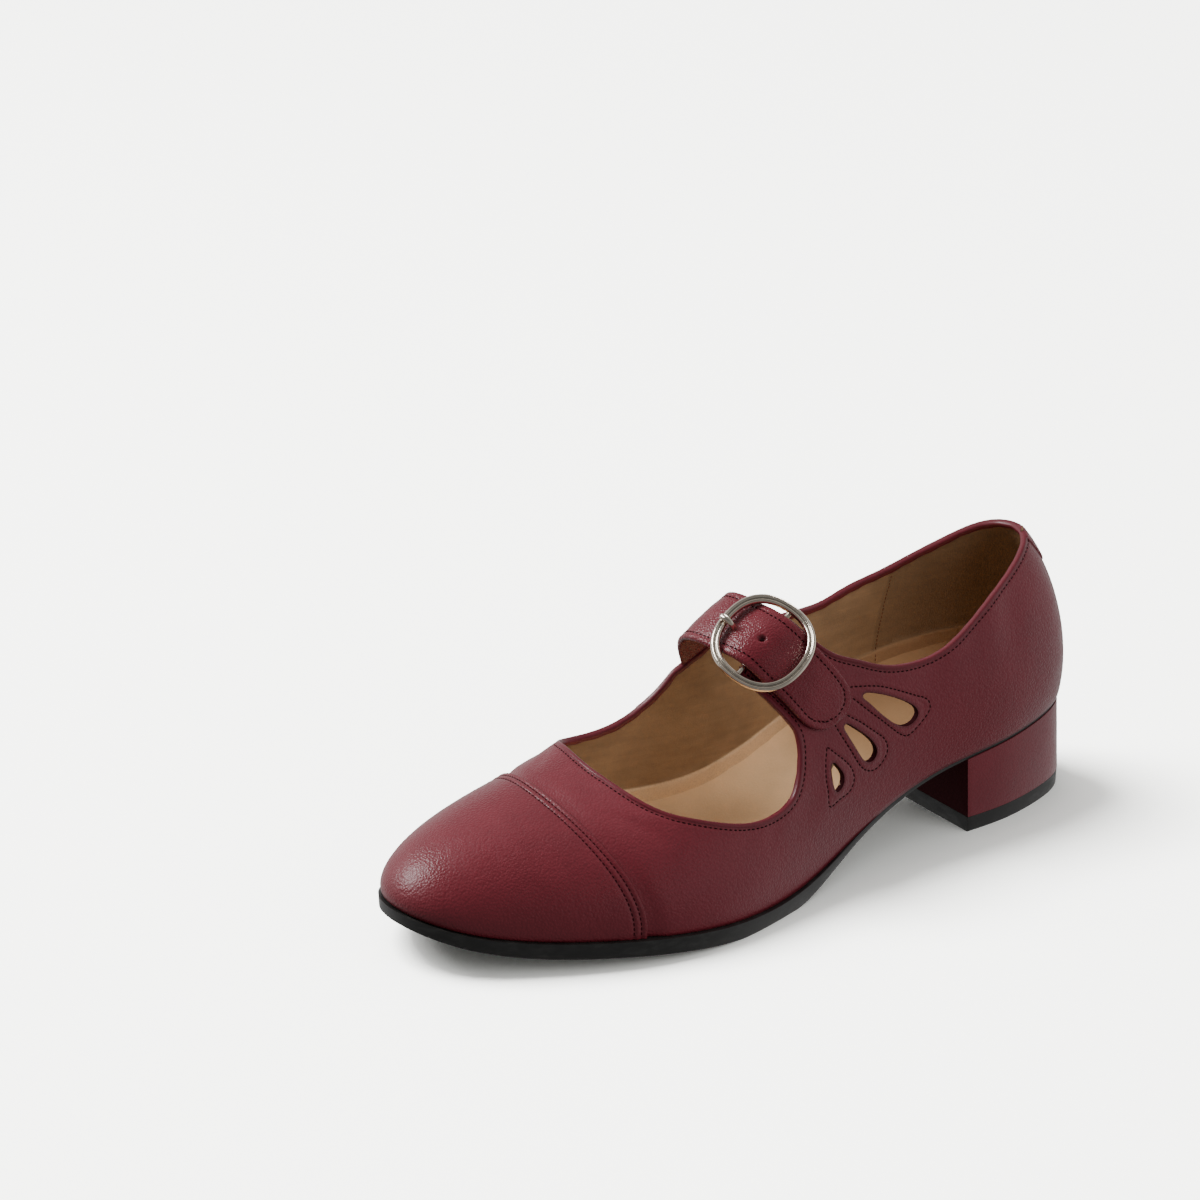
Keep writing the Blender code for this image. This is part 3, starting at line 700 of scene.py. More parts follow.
class EdgeRow:
    """Evenly spaced points on the open edge of a sheet, with the directions out of it and up."""

    def __init__(self, verts, spacing=1.0, soften=2):
        points = np.array([v.co for v in verts])
        tree = KDTree(len(verts))
        for i, vert in enumerate(verts):
            tree.insert(vert.co, i)
        tree.balance()
        self.points = smooth_row(resample(points, spacing), soften)
        normals = []
        for point in self.points:
            near = tree.find_n(Vector(point), 3)
            normals.append(sum((verts[i].normal for _, i, _ in near), Vector()))
        along = tangents(self.points, True)
        normals = unit(smooth_row(unit(np.array(normals)), 3))
        self.up = unit(normals - along * np.sum(normals * along, axis=1)[:, None])
        self.out = smooth_row(np.cross(along, self.up), 2)


def sweep(points, out, up, profile, closed=True, scale=None):
    """A closed profile of (out, up) pairs carried along a row of points."""
    profile = np.asarray(profile, float)
    size = len(profile)
    count = len(points) if closed else len(points) - 1
    scale = np.ones(len(points)) if scale is None else scale

    def place(u, v):
        i = np.rint(u * count).astype(int) % len(points)
        j = np.rint(v * size).astype(int) % size
        reach = profile[j] * scale[i][:, None]
        return points[i] + out[i] * reach[:, :1] + up[i] * reach[:, 1:]

    bm = warped_grid(count, size, place)
    face_outward(bm)
    return bm


def circle_profile(radius, count):
    turn = np.linspace(0, 2 * math.pi, count, endpoint=False)
    return np.stack([np.cos(turn), np.sin(turn)], -1) * radius


INWARD = Vector((-1.0, 0.0, 0.0))
CLEAR_OF_SHOE = -INWARD * 100.0


class Surface:
    """The finished outside of a piece, asked for the nearest point or the first one hit."""

    def __init__(self, bm):
        self.tree = BVHTree.FromBMesh(bm)

    def nearest(self, points):
        found = [self.tree.find_nearest(Vector(p)) for p in points]
        return np.array([f[0] for f in found]), np.array([f[1] for f in found])

    def from_lateral_side(self, points):
        """The points of the surface straight inward from these, where there are any."""
        found = [self.tree.ray_cast(Vector(p) + CLEAR_OF_SHOE, INWARD)[0] for p in points]
        return np.array([place for place in found if place is not None])


STITCH_FILL = 0.85
STITCH_FLATNESS = 0.8
STITCH_SINK = 0.02
# how far to either side of a stitch its heading is taken
STITCH_AIM = 0.4


def stitch(bm, point, along, up, length, width):
    """One stitch: a flattened bead of thread, its ends drawn into the leather."""
    along = Vector(along).normalized()
    up = Vector(up).normalized()
    side = up.cross(along).normalized()
    up = along.cross(side)
    turn = Matrix((along * length, side * width, up * width * STITCH_FLATNESS)).transposed()
    place = Matrix.Translation(Vector(point) - up * STITCH_SINK)
    bmesh.ops.create_icosphere(bm, subdivisions=1, radius=0.5, matrix=place @ turn.to_4x4())


def stitch_row(bm, points, normals, pitch, width):
    """Stitches at an even pitch along a row."""
    run = run_along(points)
    count = max(1, round(run[-1] / pitch))
    step = run[-1] / count
    for here in (np.arange(count) + 0.5) * step:
        before, point, after = between(run, points, [here - STITCH_AIM, here, here + STITCH_AIM])
        normal = between(run, normals, here)
        stitch(bm, point, after - before, normal, step * STITCH_FILL, width)


# Finishes

class Signal:
    """A number that varies over a surface; arithmetic on it adds Math nodes."""

    def __init__(self, finish, socket):
        self.finish = finish
        self.socket = socket

    def math(self, operation, *values):
        return self.finish.node(
            "ShaderNodeMath", {"operation": operation}, dict(enumerate(values)))

    def __add__(self, other):
        return self.math('ADD', self, other)

    def __radd__(self, other):
        return self.math('ADD', other, self)

    def __sub__(self, other):
        return self.math('SUBTRACT', self, other)

    def __rsub__(self, other):
        return self.math('SUBTRACT', other, self)

    def __mul__(self, other):
        return self.math('MULTIPLY', self, other)

    def limit(self, low, high, first=0.0, final=1.0):
        """Carried smoothly from first to final as it passes from low to high."""
        return self.finish.node(
            "ShaderNodeMapRange", {"interpolation_type": 'SMOOTHSTEP'},
            {0: self, 1: low, 2: high, 3: first, 4: final})


class Nodes:
    """A node tree to which one method adds every node."""

    def __init__(self, tree):
        self.tree = tree

    def node(self, kind, settings, sockets, output=0):
        node = self.tree.nodes.new(kind)
        for name, value in settings.items():
            setattr(node, name, value)
        for key, value in sockets.items():
            if isinstance(value, Signal):
                self.tree.links.new(value.socket, node.inputs[key])
            else:
                node.inputs[key].default_value = value
        return Signal(self, node.outputs[output])


class Finish(Nodes):
    """A material and the nodes behind it. Patterns are given by their size in millimetres."""

    def __init__(self, name, roughness, metallic=0.0, **constants):
        self.material = bpy.data.materials.new(name)
        self.material.use_nodes = True
        super().__init__(self.material.node_tree)
        self.shader = self.tree.nodes["Principled BSDF"]
        self.shader.inputs["Roughness"].default_value = roughness
        self.shader.inputs["Metallic"].default_value = metallic
        for socket, value in constants.items():
            self.shader.inputs[socket.replace("_", " ")].default_value = value
        self.place = self.node("ShaderNodeTexCoord", {}, {}, "Object")

    def feed(self, socket, signal):
        self.tree.links.new(signal.socket, self.shader.inputs[socket])

    def stretched(self, x, y, z, turn=(0.0, 0.0, 0.0)):
        return self.node(
            "ShaderNodeMapping", {},
            {"Vector": self.place, "Rotation": turn, "Scale": (x, y, z)})

    def noise(self, size, detail=2.0, roughness=0.5, place=None, distortion=0.0):
        return self.node("ShaderNodeTexNoise", {}, {
            "Vector": place or self.place, "Scale": 1 / (size * MM), "Detail": detail,
            "Roughness": roughness, "Distortion": distortion})

    def cells(self, size, smoothness):
        return self.node("ShaderNodeTexVoronoi", {"feature": 'SMOOTH_F1'}, {
            "Vector": self.place, "Scale": 1 / (size * MM), "Smoothness": smoothness})

    def attribute(self, name):
        return self.node("ShaderNodeAttribute", {"attribute_name": name}, {}, "Fac")

    def axis(self, number):
        """Where on the shoe: 1 for the way from toe to heel, 2 for the height."""
        return self.node("ShaderNodeSeparateXYZ", {}, {0: self.place}, number)

    def mix(self, factor, first, second):
        return self.node("ShaderNodeMix", {"data_type": 'RGBA'}, {
            0: factor, 6: self.colour(first), 7: self.colour(second)}, 2)

    @staticmethod
    def colour(value):
        return value if isinstance(value, Signal) else (*tuple(value)[:3], 1.0)

    def bump(self, height, depth):
        """Surface relief that is depth millimetres deep where the height goes from 0 to 1."""
        return self.node("ShaderNodeBump", {}, {
            "Strength": 1.0, "Distance": depth * MM, "Height": height})


def shade(colour, share):
    return tuple(min(1.0, c * share) for c in colour[:3])


def leather(name, colour, grain, relief, roughness, wear):
    """Burgundy leather: pebbled grain, a satin top coat and slow changes of colour."""
    finish = Finish(
        name, roughness, Coat_Weight=0.06, Coat_Roughness=0.18, Specular_IOR_Level=0.42)
    pebbles = finish.cells(grain, 0.35)
    fine = finish.noise(grain * 0.5, 2.0, 0.5)
    askew = finish.stretched(0.55, 1.0, 0.8, (0.3, 0.2, 0.6))
    folds = finish.noise(grain * 5, 3.0, 0.55, askew, 0.8)
    clouds = finish.noise(42.0, 2.0, 0.5)
    spots = finish.noise(5.5, 3.0, 0.55)
    patches = (clouds * 0.7 + spots * 0.3).limit(0.32, 0.68)
    tone = finish.mix(patches, shade(colour, 0.90), shade(colour, 1.07))
    pits = pebbles.limit(0.25, 0.75)
    tone = finish.mix(pits * 0.16, tone, shade(colour, 0.45))
    # darker where the mesh's attribute says so: painted shade in stitch grooves, at seams and cut
    # edges and in the strap's prong hole
    if wear:
        tone = finish.mix(finish.attribute(wear) * 0.75, tone, shade(colour, 0.16))
    finish.feed("Base Color", tone)
    shine = (spots * 0.5 + clouds * 0.5).limit(0.3, 0.7, roughness - 0.04, roughness + 0.06)
    finish.feed("Roughness", shine + pits * 0.08)
    relief_map = (1.0 - pebbles) * 0.9 + fine * 0.25 + folds * 0.4
    finish.feed("Normal", finish.bump(relief_map, relief))
    return finish.material


def fibrous(name, colour, dark, relief, roughness, shine, *fibre_noise):
    """A matt surface of fine fibres, between two shades of one colour."""
    finish = Finish(name, roughness, Specular_IOR_Level=shine)
    fibres = finish.noise(*fibre_noise)
    finish.feed("Base Color", finish.mix(fibres.limit(0.3, 0.7), shade(colour, dark), colour))
    finish.feed("Normal", finish.bump(fibres, relief))
    return finish.material


def thread(name, colour):
    return fibrous(name, colour, 0.6, 0.04, 0.9, 0.08, 0.25, 2.0)


def raw_edge(name, colour):
    """The dyed, matt edge of cut leather."""
    return fibrous(name, colour, 0.7, 0.05, 0.85, 0.1, 0.5, 3.0, 0.6)


def lining(name, colour, sock_colour, grip_place):
    """Tan lining, brushed and a little darker in the heel grip behind its seam."""
    finish = Finish(name, 0.62, Specular_IOR_Level=0.25)
    grain = finish.noise(0.5, 3.0, 0.6)
    clouds = finish.noise(16.0, 3.0, 0.6)
    streaks = finish.noise(3.2, 3.0, 0.6, finish.stretched(0.4, 0.18, 1.3), 0.5)
    leant = finish.axis(1) - finish.axis(2) * LINING_SEAM_LEAN
    grip = leant.limit(grip_place - 0.6 * MM, grip_place + 0.6 * MM)
    patches = (clouds * 0.6 + streaks * 0.4).limit(0.3, 0.7)
    tone = finish.mix(patches, shade(colour, 0.80), shade(colour, 1.12))
    tone = finish.mix(grip * 0.55, tone, shade(colour, 0.66))
    # the sock takes the painted shade of the heel seat
    tone = finish.mix(finish.attribute("sock"), tone, painted_heel_seat_shade(finish, sock_colour))
    tone = finish.mix(grain.limit(0.35, 0.75) * 0.22, tone, shade(colour, 0.6))
    finish.feed("Base Color", tone)
    finish.feed("Roughness", 0.58 + grip * 0.25)
    finish.feed("Normal", finish.bump(grain * (0.6 + grip * 0.9) + streaks * 0.8, 0.07))
    return finish.material


# stations between which painted shade darkens the sock and insole towards the heel seat, how far,
# and into what
SEAT_FRONT = 98.0
SEAT_REAR = 66.0
SEAT_SHADE_SHARE = 0.8
SEAT_SHADE_COLOUR = (0.26, 0.135, 0.062)


def painted_heel_seat_shade(finish, tone):
    """The given tone of the sock or insole, darker and duller in the heel seat as painted shade."""
    seat = finish.axis(1).limit((HEEL_Y - SEAT_FRONT) * MM, (HEEL_Y - SEAT_REAR) * MM)
    return finish.mix(seat * SEAT_SHADE_SHARE, tone, SEAT_SHADE_COLOUR)


def footbed(name, colour):
    finish = Finish(name, 0.7, Specular_IOR_Level=0.15)
    grain = finish.noise(0.6, 3.0, 0.65)
    clouds = finish.noise(26.0, 3.0, 0.5)
    tone = finish.mix(clouds.limit(0.3, 0.7), shade(colour, 0.88), shade(colour, 1.06))
    tone = finish.mix(grain.limit(0.35, 0.8) * 0.16, tone, shade(colour, 0.6))
    # painted shade darkens the insole in the heel seat
    finish.feed("Base Color", painted_heel_seat_shade(finish, tone))
    finish.feed("Roughness", grain.limit(0.2, 0.8, 0.62, 0.75))
    finish.feed("Normal", finish.bump(grain, 0.04))
    return finish.material


def rubber(name, colour, roughness=0.42):
    finish = Finish(name, roughness)
    grain = finish.noise(0.7, 3.0, 0.6)
    scuffs = finish.noise(7.0, 4.0, 0.65, finish.stretched(1.0, 1.0, 3.0))
    finish.feed("Base Color", finish.mix(
        scuffs.limit(0.42, 0.72), shade(colour, 0.75), shade(colour, 1.5)))
    finish.feed("Roughness", scuffs.limit(0.3, 0.7, roughness - 0.06, roughness + 0.12))
    finish.feed("Normal", finish.bump(grain, 0.03))
    return finish.material


def plated_metal(name, colour):
    """Polished nickel, darker and rougher where a dark reflection is painted on by the mesh's
    attribute.
    """
    finish = Finish(name, 0.2, 1.0)
    haze = finish.noise(3.0, 3.0, 0.6)
    tone = finish.mix(haze.limit(0.3, 0.7), shade(colour, 0.86), colour)
    tarnish = finish.attribute("tarnish")
    finish.feed("Base Color", finish.mix(tarnish * 0.85, tone, shade(colour, 0.12)))
    finish.feed("Roughness", haze.limit(0.3, 0.7, 0.12, 0.17) + tarnish * 0.12)
    return finish.material


def paper_floor(name, colour):
    finish = Finish(name, 0.7)
    grain = finish.noise(40.0, 3.0, 0.5)
    finish.feed("Base Color", finish.mix(grain, shade(colour, 0.995), colour))
    return finish.material


# Settings that a user would change

def colour_setting(name, description, default):
    return bpy.props.FloatVectorProperty(
        name=name, description=description, subtype='COLOR', default=default, min=0, max=1)


def number_setting(name, description, default, low, high):
    return bpy.props.FloatProperty(
        name=name, description=description, default=default, min=low, max=high)


def angle_setting(name, description, degrees):
    return bpy.props.FloatProperty(
        name=name, description=description, default=math.radians(degrees), subtype='ANGLE',
        unit='ROTATION')


class ShoeLeather(bpy.types.PropertyGroup):
    upper: colour_setting(
        "Upper", "Colour of the upper, cap, strap and heel leather", (0.140, 0.0165, 0.0250))
    binding: colour_setting("Binding", "Colour of the rolled edges", (0.115, 0.012, 0.020))
    inside: colour_setting("Lining", "Colour of the lining", (0.270, 0.170, 0.094))
    footbed: colour_setting("Insole", "Colour of the insole", (0.82, 0.545, 0.305))
    rubber: colour_setting("Rubber", "Colour of the sole and top lift", (0.020, 0.020, 0.019))
    metal: colour_setting("Metal", "Colour of the buckle", (0.92, 0.82, 0.69))
    grain: number_setting("Grain", "Size of the leather's pebbles in millimetres", 0.72, 0.2, 3.0)
    skin: number_setting(
        "Leather", "Thickness of the outer leather in millimetres", 1.0, 0.4, 1.4)


class ShoeSewing(bpy.types.PropertyGroup):
    thread: colour_setting("Thread", "Colour of the thread", (0.016, 0.0018, 0.0035))
    pitch: number_setting(
        "Pitch", "Distance from stitch to stitch in millimetres", 1.7, 1.0, 6.0)
    thickness: number_setting("Thickness", "Width of a stitch in millimetres", 0.55, 0.2, 1.5)
    topline_row: number_setting(
        "Topline row", "Stitches below the topline in millimetres", 1.75, 1.0, 6.0)
    strap_row: number_setting(
        "Strap row", "Stitches inside the strap's edge in millimetres", 2.4, 1.0, 5.0)
    cap_rows: bpy.props.FloatVectorProperty(
        name="Cap rows", description="Both rows in front of the cap's edge in millimetres",
        size=2, default=(1.5, 3.4), min=0.5, max=8.0)


class ShoeStudio(bpy.types.PropertyGroup):
    floor: colour_setting("Floor", "Colour of the floor", (0.94, 0.945, 0.905))
    sky: number_setting("Sky", "Strength of the light from all round", 0.95, 0.0, 10.0)
    key: number_setting("Key", "Power of the large light on the toe's side", 26.0, 0.0, 900.0)
    inside: number_setting(
        "Inside", "Power of the light that reaches the lining alone", 9.0, 0.0, 900.0)
    floor_light: number_setting(
        "Floor light", "Strength of the light that whitens the floor alone", 15.5, 0.0, 50.0)
    azimuth: angle_setting("Azimuth", "Where the camera stands round the shoe", 54.29)
    elevation: angle_setting("Elevation", "How high the camera stands", 23.75)


# Making objects

def add_piece(name, bm, surface, replaces=(), wall=None, sharp=math.radians(42)):
    """Turn a bmesh in millimetres into a riding piece in metres."""
    bmesh.ops.scale(bm, vec=(MM, MM, MM), verts=bm.verts)
    mesh = bpy.data.meshes.new(name)
    bm.to_mesh(mesh)
    bm.free()
    mesh.shade_smooth()
    if sharp:
        mesh.set_sharp_from_angle(angle=sharp)
    mesh.materials.append(surface)
    piece = bpy.data.objects.new(name, mesh)
    bpy.context.scene.collection.objects.link(piece)
    if wall:
        shell = piece.modifiers.new("Wall", 'SOLIDIFY')
        shell.thickness = wall * MM
        shell.offset = -1.0
    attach(piece, "root")
    if replaces:
        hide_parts(*replaces)
    return piece


FINISHES = {}


def finish_named(name, make, *values):
    """The finish of that name, made once."""
    if name not in FINISHES:
        FINISHES[name] = make(name, *values)
    return FINISHES[name]


# each leather: its colour setting, grain over the upper's, relief, roughness, attribute of painted
# shade
LEATHERS = {
    "burgundy_leather": ("upper", 1.0, 0.15, 0.32, "wear"),
    "strap_grain": ("upper", 0.95, 0.20, 0.23, "wear"),
    "binding_leather": ("binding", 0.8, 0.04, 0.33, None),
    "tab_grain": ("upper", 1.0, 0.10, 0.4, None),
    "heel_grain": ("upper", 1.0, 0.06, 0.30, None),
}


def leather_named(name):
    skin = bpy.context.scene.shoe_leather
    colour, grain, relief, roughness, wear = LEATHERS[name]
    return finish_named(
        name, leather, tuple(getattr(skin, colour)), skin.grain * grain, relief, roughness, wear)


def add_stitches(name, surface, rows, finish=None, pitch=1.0, width=None):
    """Rows of stitches laid on a surface as one piece, their pitch as a share of the setting."""
    sewing = bpy.context.scene.shoe_sewing
    finish = finish or finish_named("thread", thread, tuple(sewing.thread))
    bm = bmesh.new()
    for row in rows:
        points, normals = surface.nearest(row)
        stitch_row(bm, points, normals, sewing.pitch * pitch, width or sewing.thickness)
    add_piece(name, bm, finish)


# height and station of the vamp seam's places on the medial side, from the sole up
MEDIAL_SEAM = [
    (4.0, 134.5),
    (12.0, 135.0),
    (25.0, 137.0),
    (38.0, 139.5),
    (50.0, 143.5),
    (70.0, 152.0),
]
MEDIAL_SEAM_STATION = column(MEDIAL_SEAM, 1)
# station and rise of a crease's two ends, its side (1 lateral, -1 medial), width, depth
CREASES = [
    (186.0, 0.80, 168.0, 0.55, 1, 2.2, 0.16),
    (191.0, 0.78, 172.0, 0.42, 1, 2.0, 0.14),
    (180.0, 0.66, 158.0, 0.50, 1, 1.8, 0.13),
    (184.0, 0.92, 176.0, 0.78, 1, 1.5, 0.12),
    (190.0, 0.90, 183.0, 0.80, -1, 1.8, 0.12),
    (187.0, 0.72, 170.0, 0.56, -1, 2.0, 0.15),
    (180.0, 0.62, 160.0, 0.48, -1, 2.0, 0.13),
    (150.0, 0.30, 138.0, 0.44, 1, 3.2, 0.20),
    (140.0, 0.26, 130.0, 0.42, 1, 3.0, 0.18),
    (70.0, 0.30, 58.0, 0.62, 1, 5.5, 0.40),
    (52.0, 0.35, 44.0, 0.68, 1, 5.0, 0.32),
    (34.0, 0.30, 30.0, 0.55, 1, 5.0, 0.28),
    (66.0, 0.30, 56.0, 0.66, -1, 5.5, 0.36),
    (44.0, 0.32, 38.0, 0.60, -1, 5.0, 0.30),
    (126.0, 0.24, 112.0, 0.30, 1, 4.0, 0.25),
    (150.0, 0.30, 136.0, 0.42, -1, 3.4, 0.22),
]


def outline_angle(station, side):
    return side * np.arccos(1 - np.clip(station, 0, LENGTH) / HALF)


def crease_relief(points):
    """Soft troughs across the vamp and down the quarters, each with a low ridge beside it."""
    relief = np.zeros(len(points))
    for first_s, first_r, final_s, final_r, side, width, depth in CREASES:
        shares = np.linspace(0, 1, 9)
        angles = outline_angle(first_s + (final_s - first_s) * shares, side)
        path = last(angles, first_r + (final_r - first_r) * shares)
        near = np.full(len(points), 1e9)
        strength = np.zeros(len(points))
        for i in range(len(path) - 1):
            run = path[i + 1] - path[i]
            share = np.clip((points - path[i]) @ run / (run @ run), 0, 1)
            distance = np.linalg.norm(points - path[i] - share[:, None] * run, axis=1)
            closer = distance < near
            near = np.where(closer, distance, near)
            along = (i + share) / (len(path) - 1)
            strength = np.where(closer, np.sin(math.pi * (0.08 + 0.84 * along)), strength)
        relief -= depth * strength * (bell(near, width) - 0.45 * bell(near - 1.9 * width, width))
    return relief


def past_medial_seam(points):
    """Distance forward of the medial seam, large on the lateral side."""
    past = HEEL_Y - points[:, 1] - MEDIAL_SEAM_STATION(points[:, 2])
    return np.where(points[:, 0] < CENTRE_X, past, 30.0)


def distance_to(rows):
    """A function that gives the distance to the nearest of these points."""
    places = np.vstack(rows)
    tree = KDTree(len(places))
    for i, place in enumerate(places):
        tree.insert(Vector(place), i)
    tree.balance()
    return lambda points: np.array([tree.find(Vector(p))[2] for p in points])


def upper_sheet(around, levels, fine):
    """The last's sheet cut to the upper, and its edge rows: collar and throat, then cut-outs."""
    bm = last_sheet(around, levels)
    for edge_band, cutout_band in ((6.5, 6.5), (4.6, 5.0))[:fine]:
        refine(bm, lambda points: np.minimum(
            np.abs(outside_upper(points) + edge_band / 2 - 0.4) / (edge_band / 2),
            np.abs(cutout_distance(points) - cutout_band / 2 + 0.4) / (cutout_band / 2)) < 1)
    cut_by_level(bm, outside_leather)
    face_outward(bm)
    loops = sorted(boundary_loops(bm), key=len)
    high = [row for row in loops if np.mean([v.co.z for v in row]) > 25 and len(row) > 12]
    low = max(loops, key=lambda row: -np.mean([v.co.z for v in row]))
    high = [row for row in high if row is not low]
    return bm, high[-1], high[:-1]


BESIDE_SHOE = 60.0
HEEL_TAB_LOW = 75.0
HEEL_TAB_HALF_WIDTH = 10.0
HEEL_TAB_ROW = (2.2, 1.9)
# faces round the last and up it, and how often those near an edge are halved
UPPER_MESH = (420, 60, 2)
LINING_MESH = (300, 44, 1)
# relief of the upper: round a cut-out, in a stitch row and beside it, at the medial seam
CUTOUT_RIM = 0.14
SEWN_GROOVE = 0.15
SEWN_ROLL = 0.05
SEAM_OVERLAP = 0.42

# outline of the rolled topline: out past the leather's edge and up from it
BINDING = [
    (-1.05, -0.25), (-1.0, 0.14), (-0.4, 0.27), (0.10, 0.20), (0.42, -0.25),
    (0.42, -1.45), (0.05, -2.0), (-0.9, -2.10), (-1.6, -2.0), (-1.6, -1.2),
]
# the same for the edge of a cut-out
CUTOUT_EDGE = [
    (-0.40, -0.25), (-0.34, 0.08), (-0.05, 0.14), (0.10, -0.05), (0.13, -0.9),
    (0.10, -1.75), (-0.3, -1.98), (-0.7, -1.7),
]


class SHOE_OT_upper(bpy.types.Operator):
    """Upper leather with its rolled topline, cut-outs, medial seam and stitches"""
    bl_idname = "shoe.upper"
    bl_label = "Upper"

    def execute(self, context):
        bm, topline, cutouts = upper_sheet(*UPPER_MESH)
        edge = EdgeRow(topline)
        rims = [EdgeRow(row, 0.5, 1) for row in cutouts]
        rows = self.rows(Surface(bm), edge, context.scene.shoe_sewing.topline_row)
        from_edge = distance_to([edge.points])
        from_rows = distance_to(rows)

        def height(points):
            rim = cutout_distance(points)
            past = past_medial_seam(points)
            relief = -CAP_DROP * cap_cover(points) + crease_relief(points)
            relief += CUTOUT_RIM * (1 - smooth_step((rim - 1.4) / 0.9)) * (rim < 20)
            relief -= SEWN_GROOVE * bell(from_rows(points), 0.38)
            relief += SEWN_ROLL * bell(from_rows(points) - 1.0, 0.4)
            relief += SEAM_OVERLAP * np.where(past <= 0.02, np.exp(np.minimum(past, 0) / 9), 0)
            return relief

        for shift in (0.0, 0.3):
            cut_by_level(bm, lambda points: past_medial_seam(points) - shift, keep=True)
        points = coordinates(bm)
        # painted shade: darker along the stitch rows, where the binding meets the leather, round
        # the cut-outs and at the medial seam's edge
        paint(bm, "wear", np.clip(
            bell(from_rows(points), 0.30) * 0.22
            + bell(from_edge(points) - 1.05, 0.25) * 0.5
            + bell(cutout_distance(points) - 0.3, 0.3) * 0.6
            + bell(past_medial_seam(points) - 0.3, 0.3), 0, 1))
        displace(bm, height)
        outside = Surface(bm)
        add_piece("upper_leather", bm, leather_named("burgundy_leather"),
                  ["upper"], wall=context.scene.shoe_leather.skin)
        self.edges(context.scene.shoe_leather, edge, rims)
        add_stitches("upper_stitches", outside, rows)
        self.heel_tab()
        return {'FINISHED'}

    def rows(self, sheet, edge, inset):
        """The stitch lines on the sheet: round the topline, then round each cut-out."""
        topline = smooth_row(edge.points - edge.out * inset, 3)
        rows = [np.vstack([topline, topline[:1]])]
        for row in CUTOUT_ROWS:
            beside = [(BESIDE_SHOE, HEEL_Y - station, height) for station, height in row]
            points = sheet.from_lateral_side(smooth_path(beside, 0.5))
            rows.append(points[outside_upper(points) < -1.2])
        return rows

    def edges(self, skin, edge, rims):
        """The rolled topline, a little uneven along its length, and the cut-outs' edges."""
        run = np.arange(len(edge.points))
        puffs = 1 + 0.035 * np.sin(run * 0.9) + 0.03 * np.sin(run * 0.37 + 1)
        bm = sweep(edge.points, edge.out, edge.up, round_profile(BINDING, 2), scale=puffs)
        add_piece("topline_binding", bm, leather_named("binding_leather"))
        bm = bmesh.new()
        for rim in rims:
            join(bm, sweep(rim.points, rim.out, rim.up, round_profile(CUTOUT_EDGE, 2)))
        # the cut-outs' edges: dyed leather, darkened to near black partly as painted shade
        dark = finish_named("cut_edge", raw_edge, shade(skin.binding, 0.22))
        add_piece("cutout_edges", bm, dark)

    def heel_tab(self):
        """Small tab over the back seam, its row of stitches along the lower edge."""
        def outside_tab(points):
            side = HEEL_TAB_HALF_WIDTH - np.abs(points[:, 0] - CENTRE_X)
            return -smooth_minimum(
                smooth_minimum(points[:, 2] - HEEL_TAB_LOW, side, 3.0), -outside_upper(points), 0.5)

        bm = last_sheet(90, 120, (-0.3, 0.3), (0.4, 1.0))
        rear = [f for f in bm.faces if f.calc_center_median().y < HEEL_Y - 30]
        bmesh.ops.delete(bm, geom=rear, context='FACES')
        cut_by_level(bm, outside_tab)
        face_outward(bm, Vector((CENTRE_X, HEEL_Y - 40, HEEL_TAB_LOW)))
        displace(bm, lambda points: 0.55 - 0.3 * bell(outside_tab(points), 0.4))
        outside = Surface(bm)
        add_piece("heel_tab", bm, leather_named("burgundy_leather"), wall=0.6)
        inset, lift = HEEL_TAB_ROW
        across = np.linspace(-1, 1, 60) * (HEEL_TAB_HALF_WIDTH - inset)
        row = np.stack([
            CENTRE_X + across, 0 * across + HEEL_Y, 0 * across + HEEL_TAB_LOW + lift], -1)
        add_stitches("heel_tab_stitches", outside, [row])


def join(bm, part):
    """Add one bmesh to another and free it."""
    mesh = bpy.data.meshes.new("part")
    part.to_mesh(mesh)
    part.free()
    bm.from_mesh(mesh)
    bpy.data.meshes.remove(mesh)


# height of the sock's edge over the feather line, and of the step at it
SOCK_RISE = 13.4
SOCK_STEP = 0.5
# the lining's seam: its station at a height, and how far it leans for each millimetre over that
LINING_SEAM = 48.5
LINING_SEAM_HEIGHT = 35
LINING_SEAM_LEAN = 0.12
LINING_SEAM_WIDTH = 1.6
SOCK_TINT = (0.86, 0.92, 1.02)
LINING_THREAD = (0.16, 0.07, 0.03)


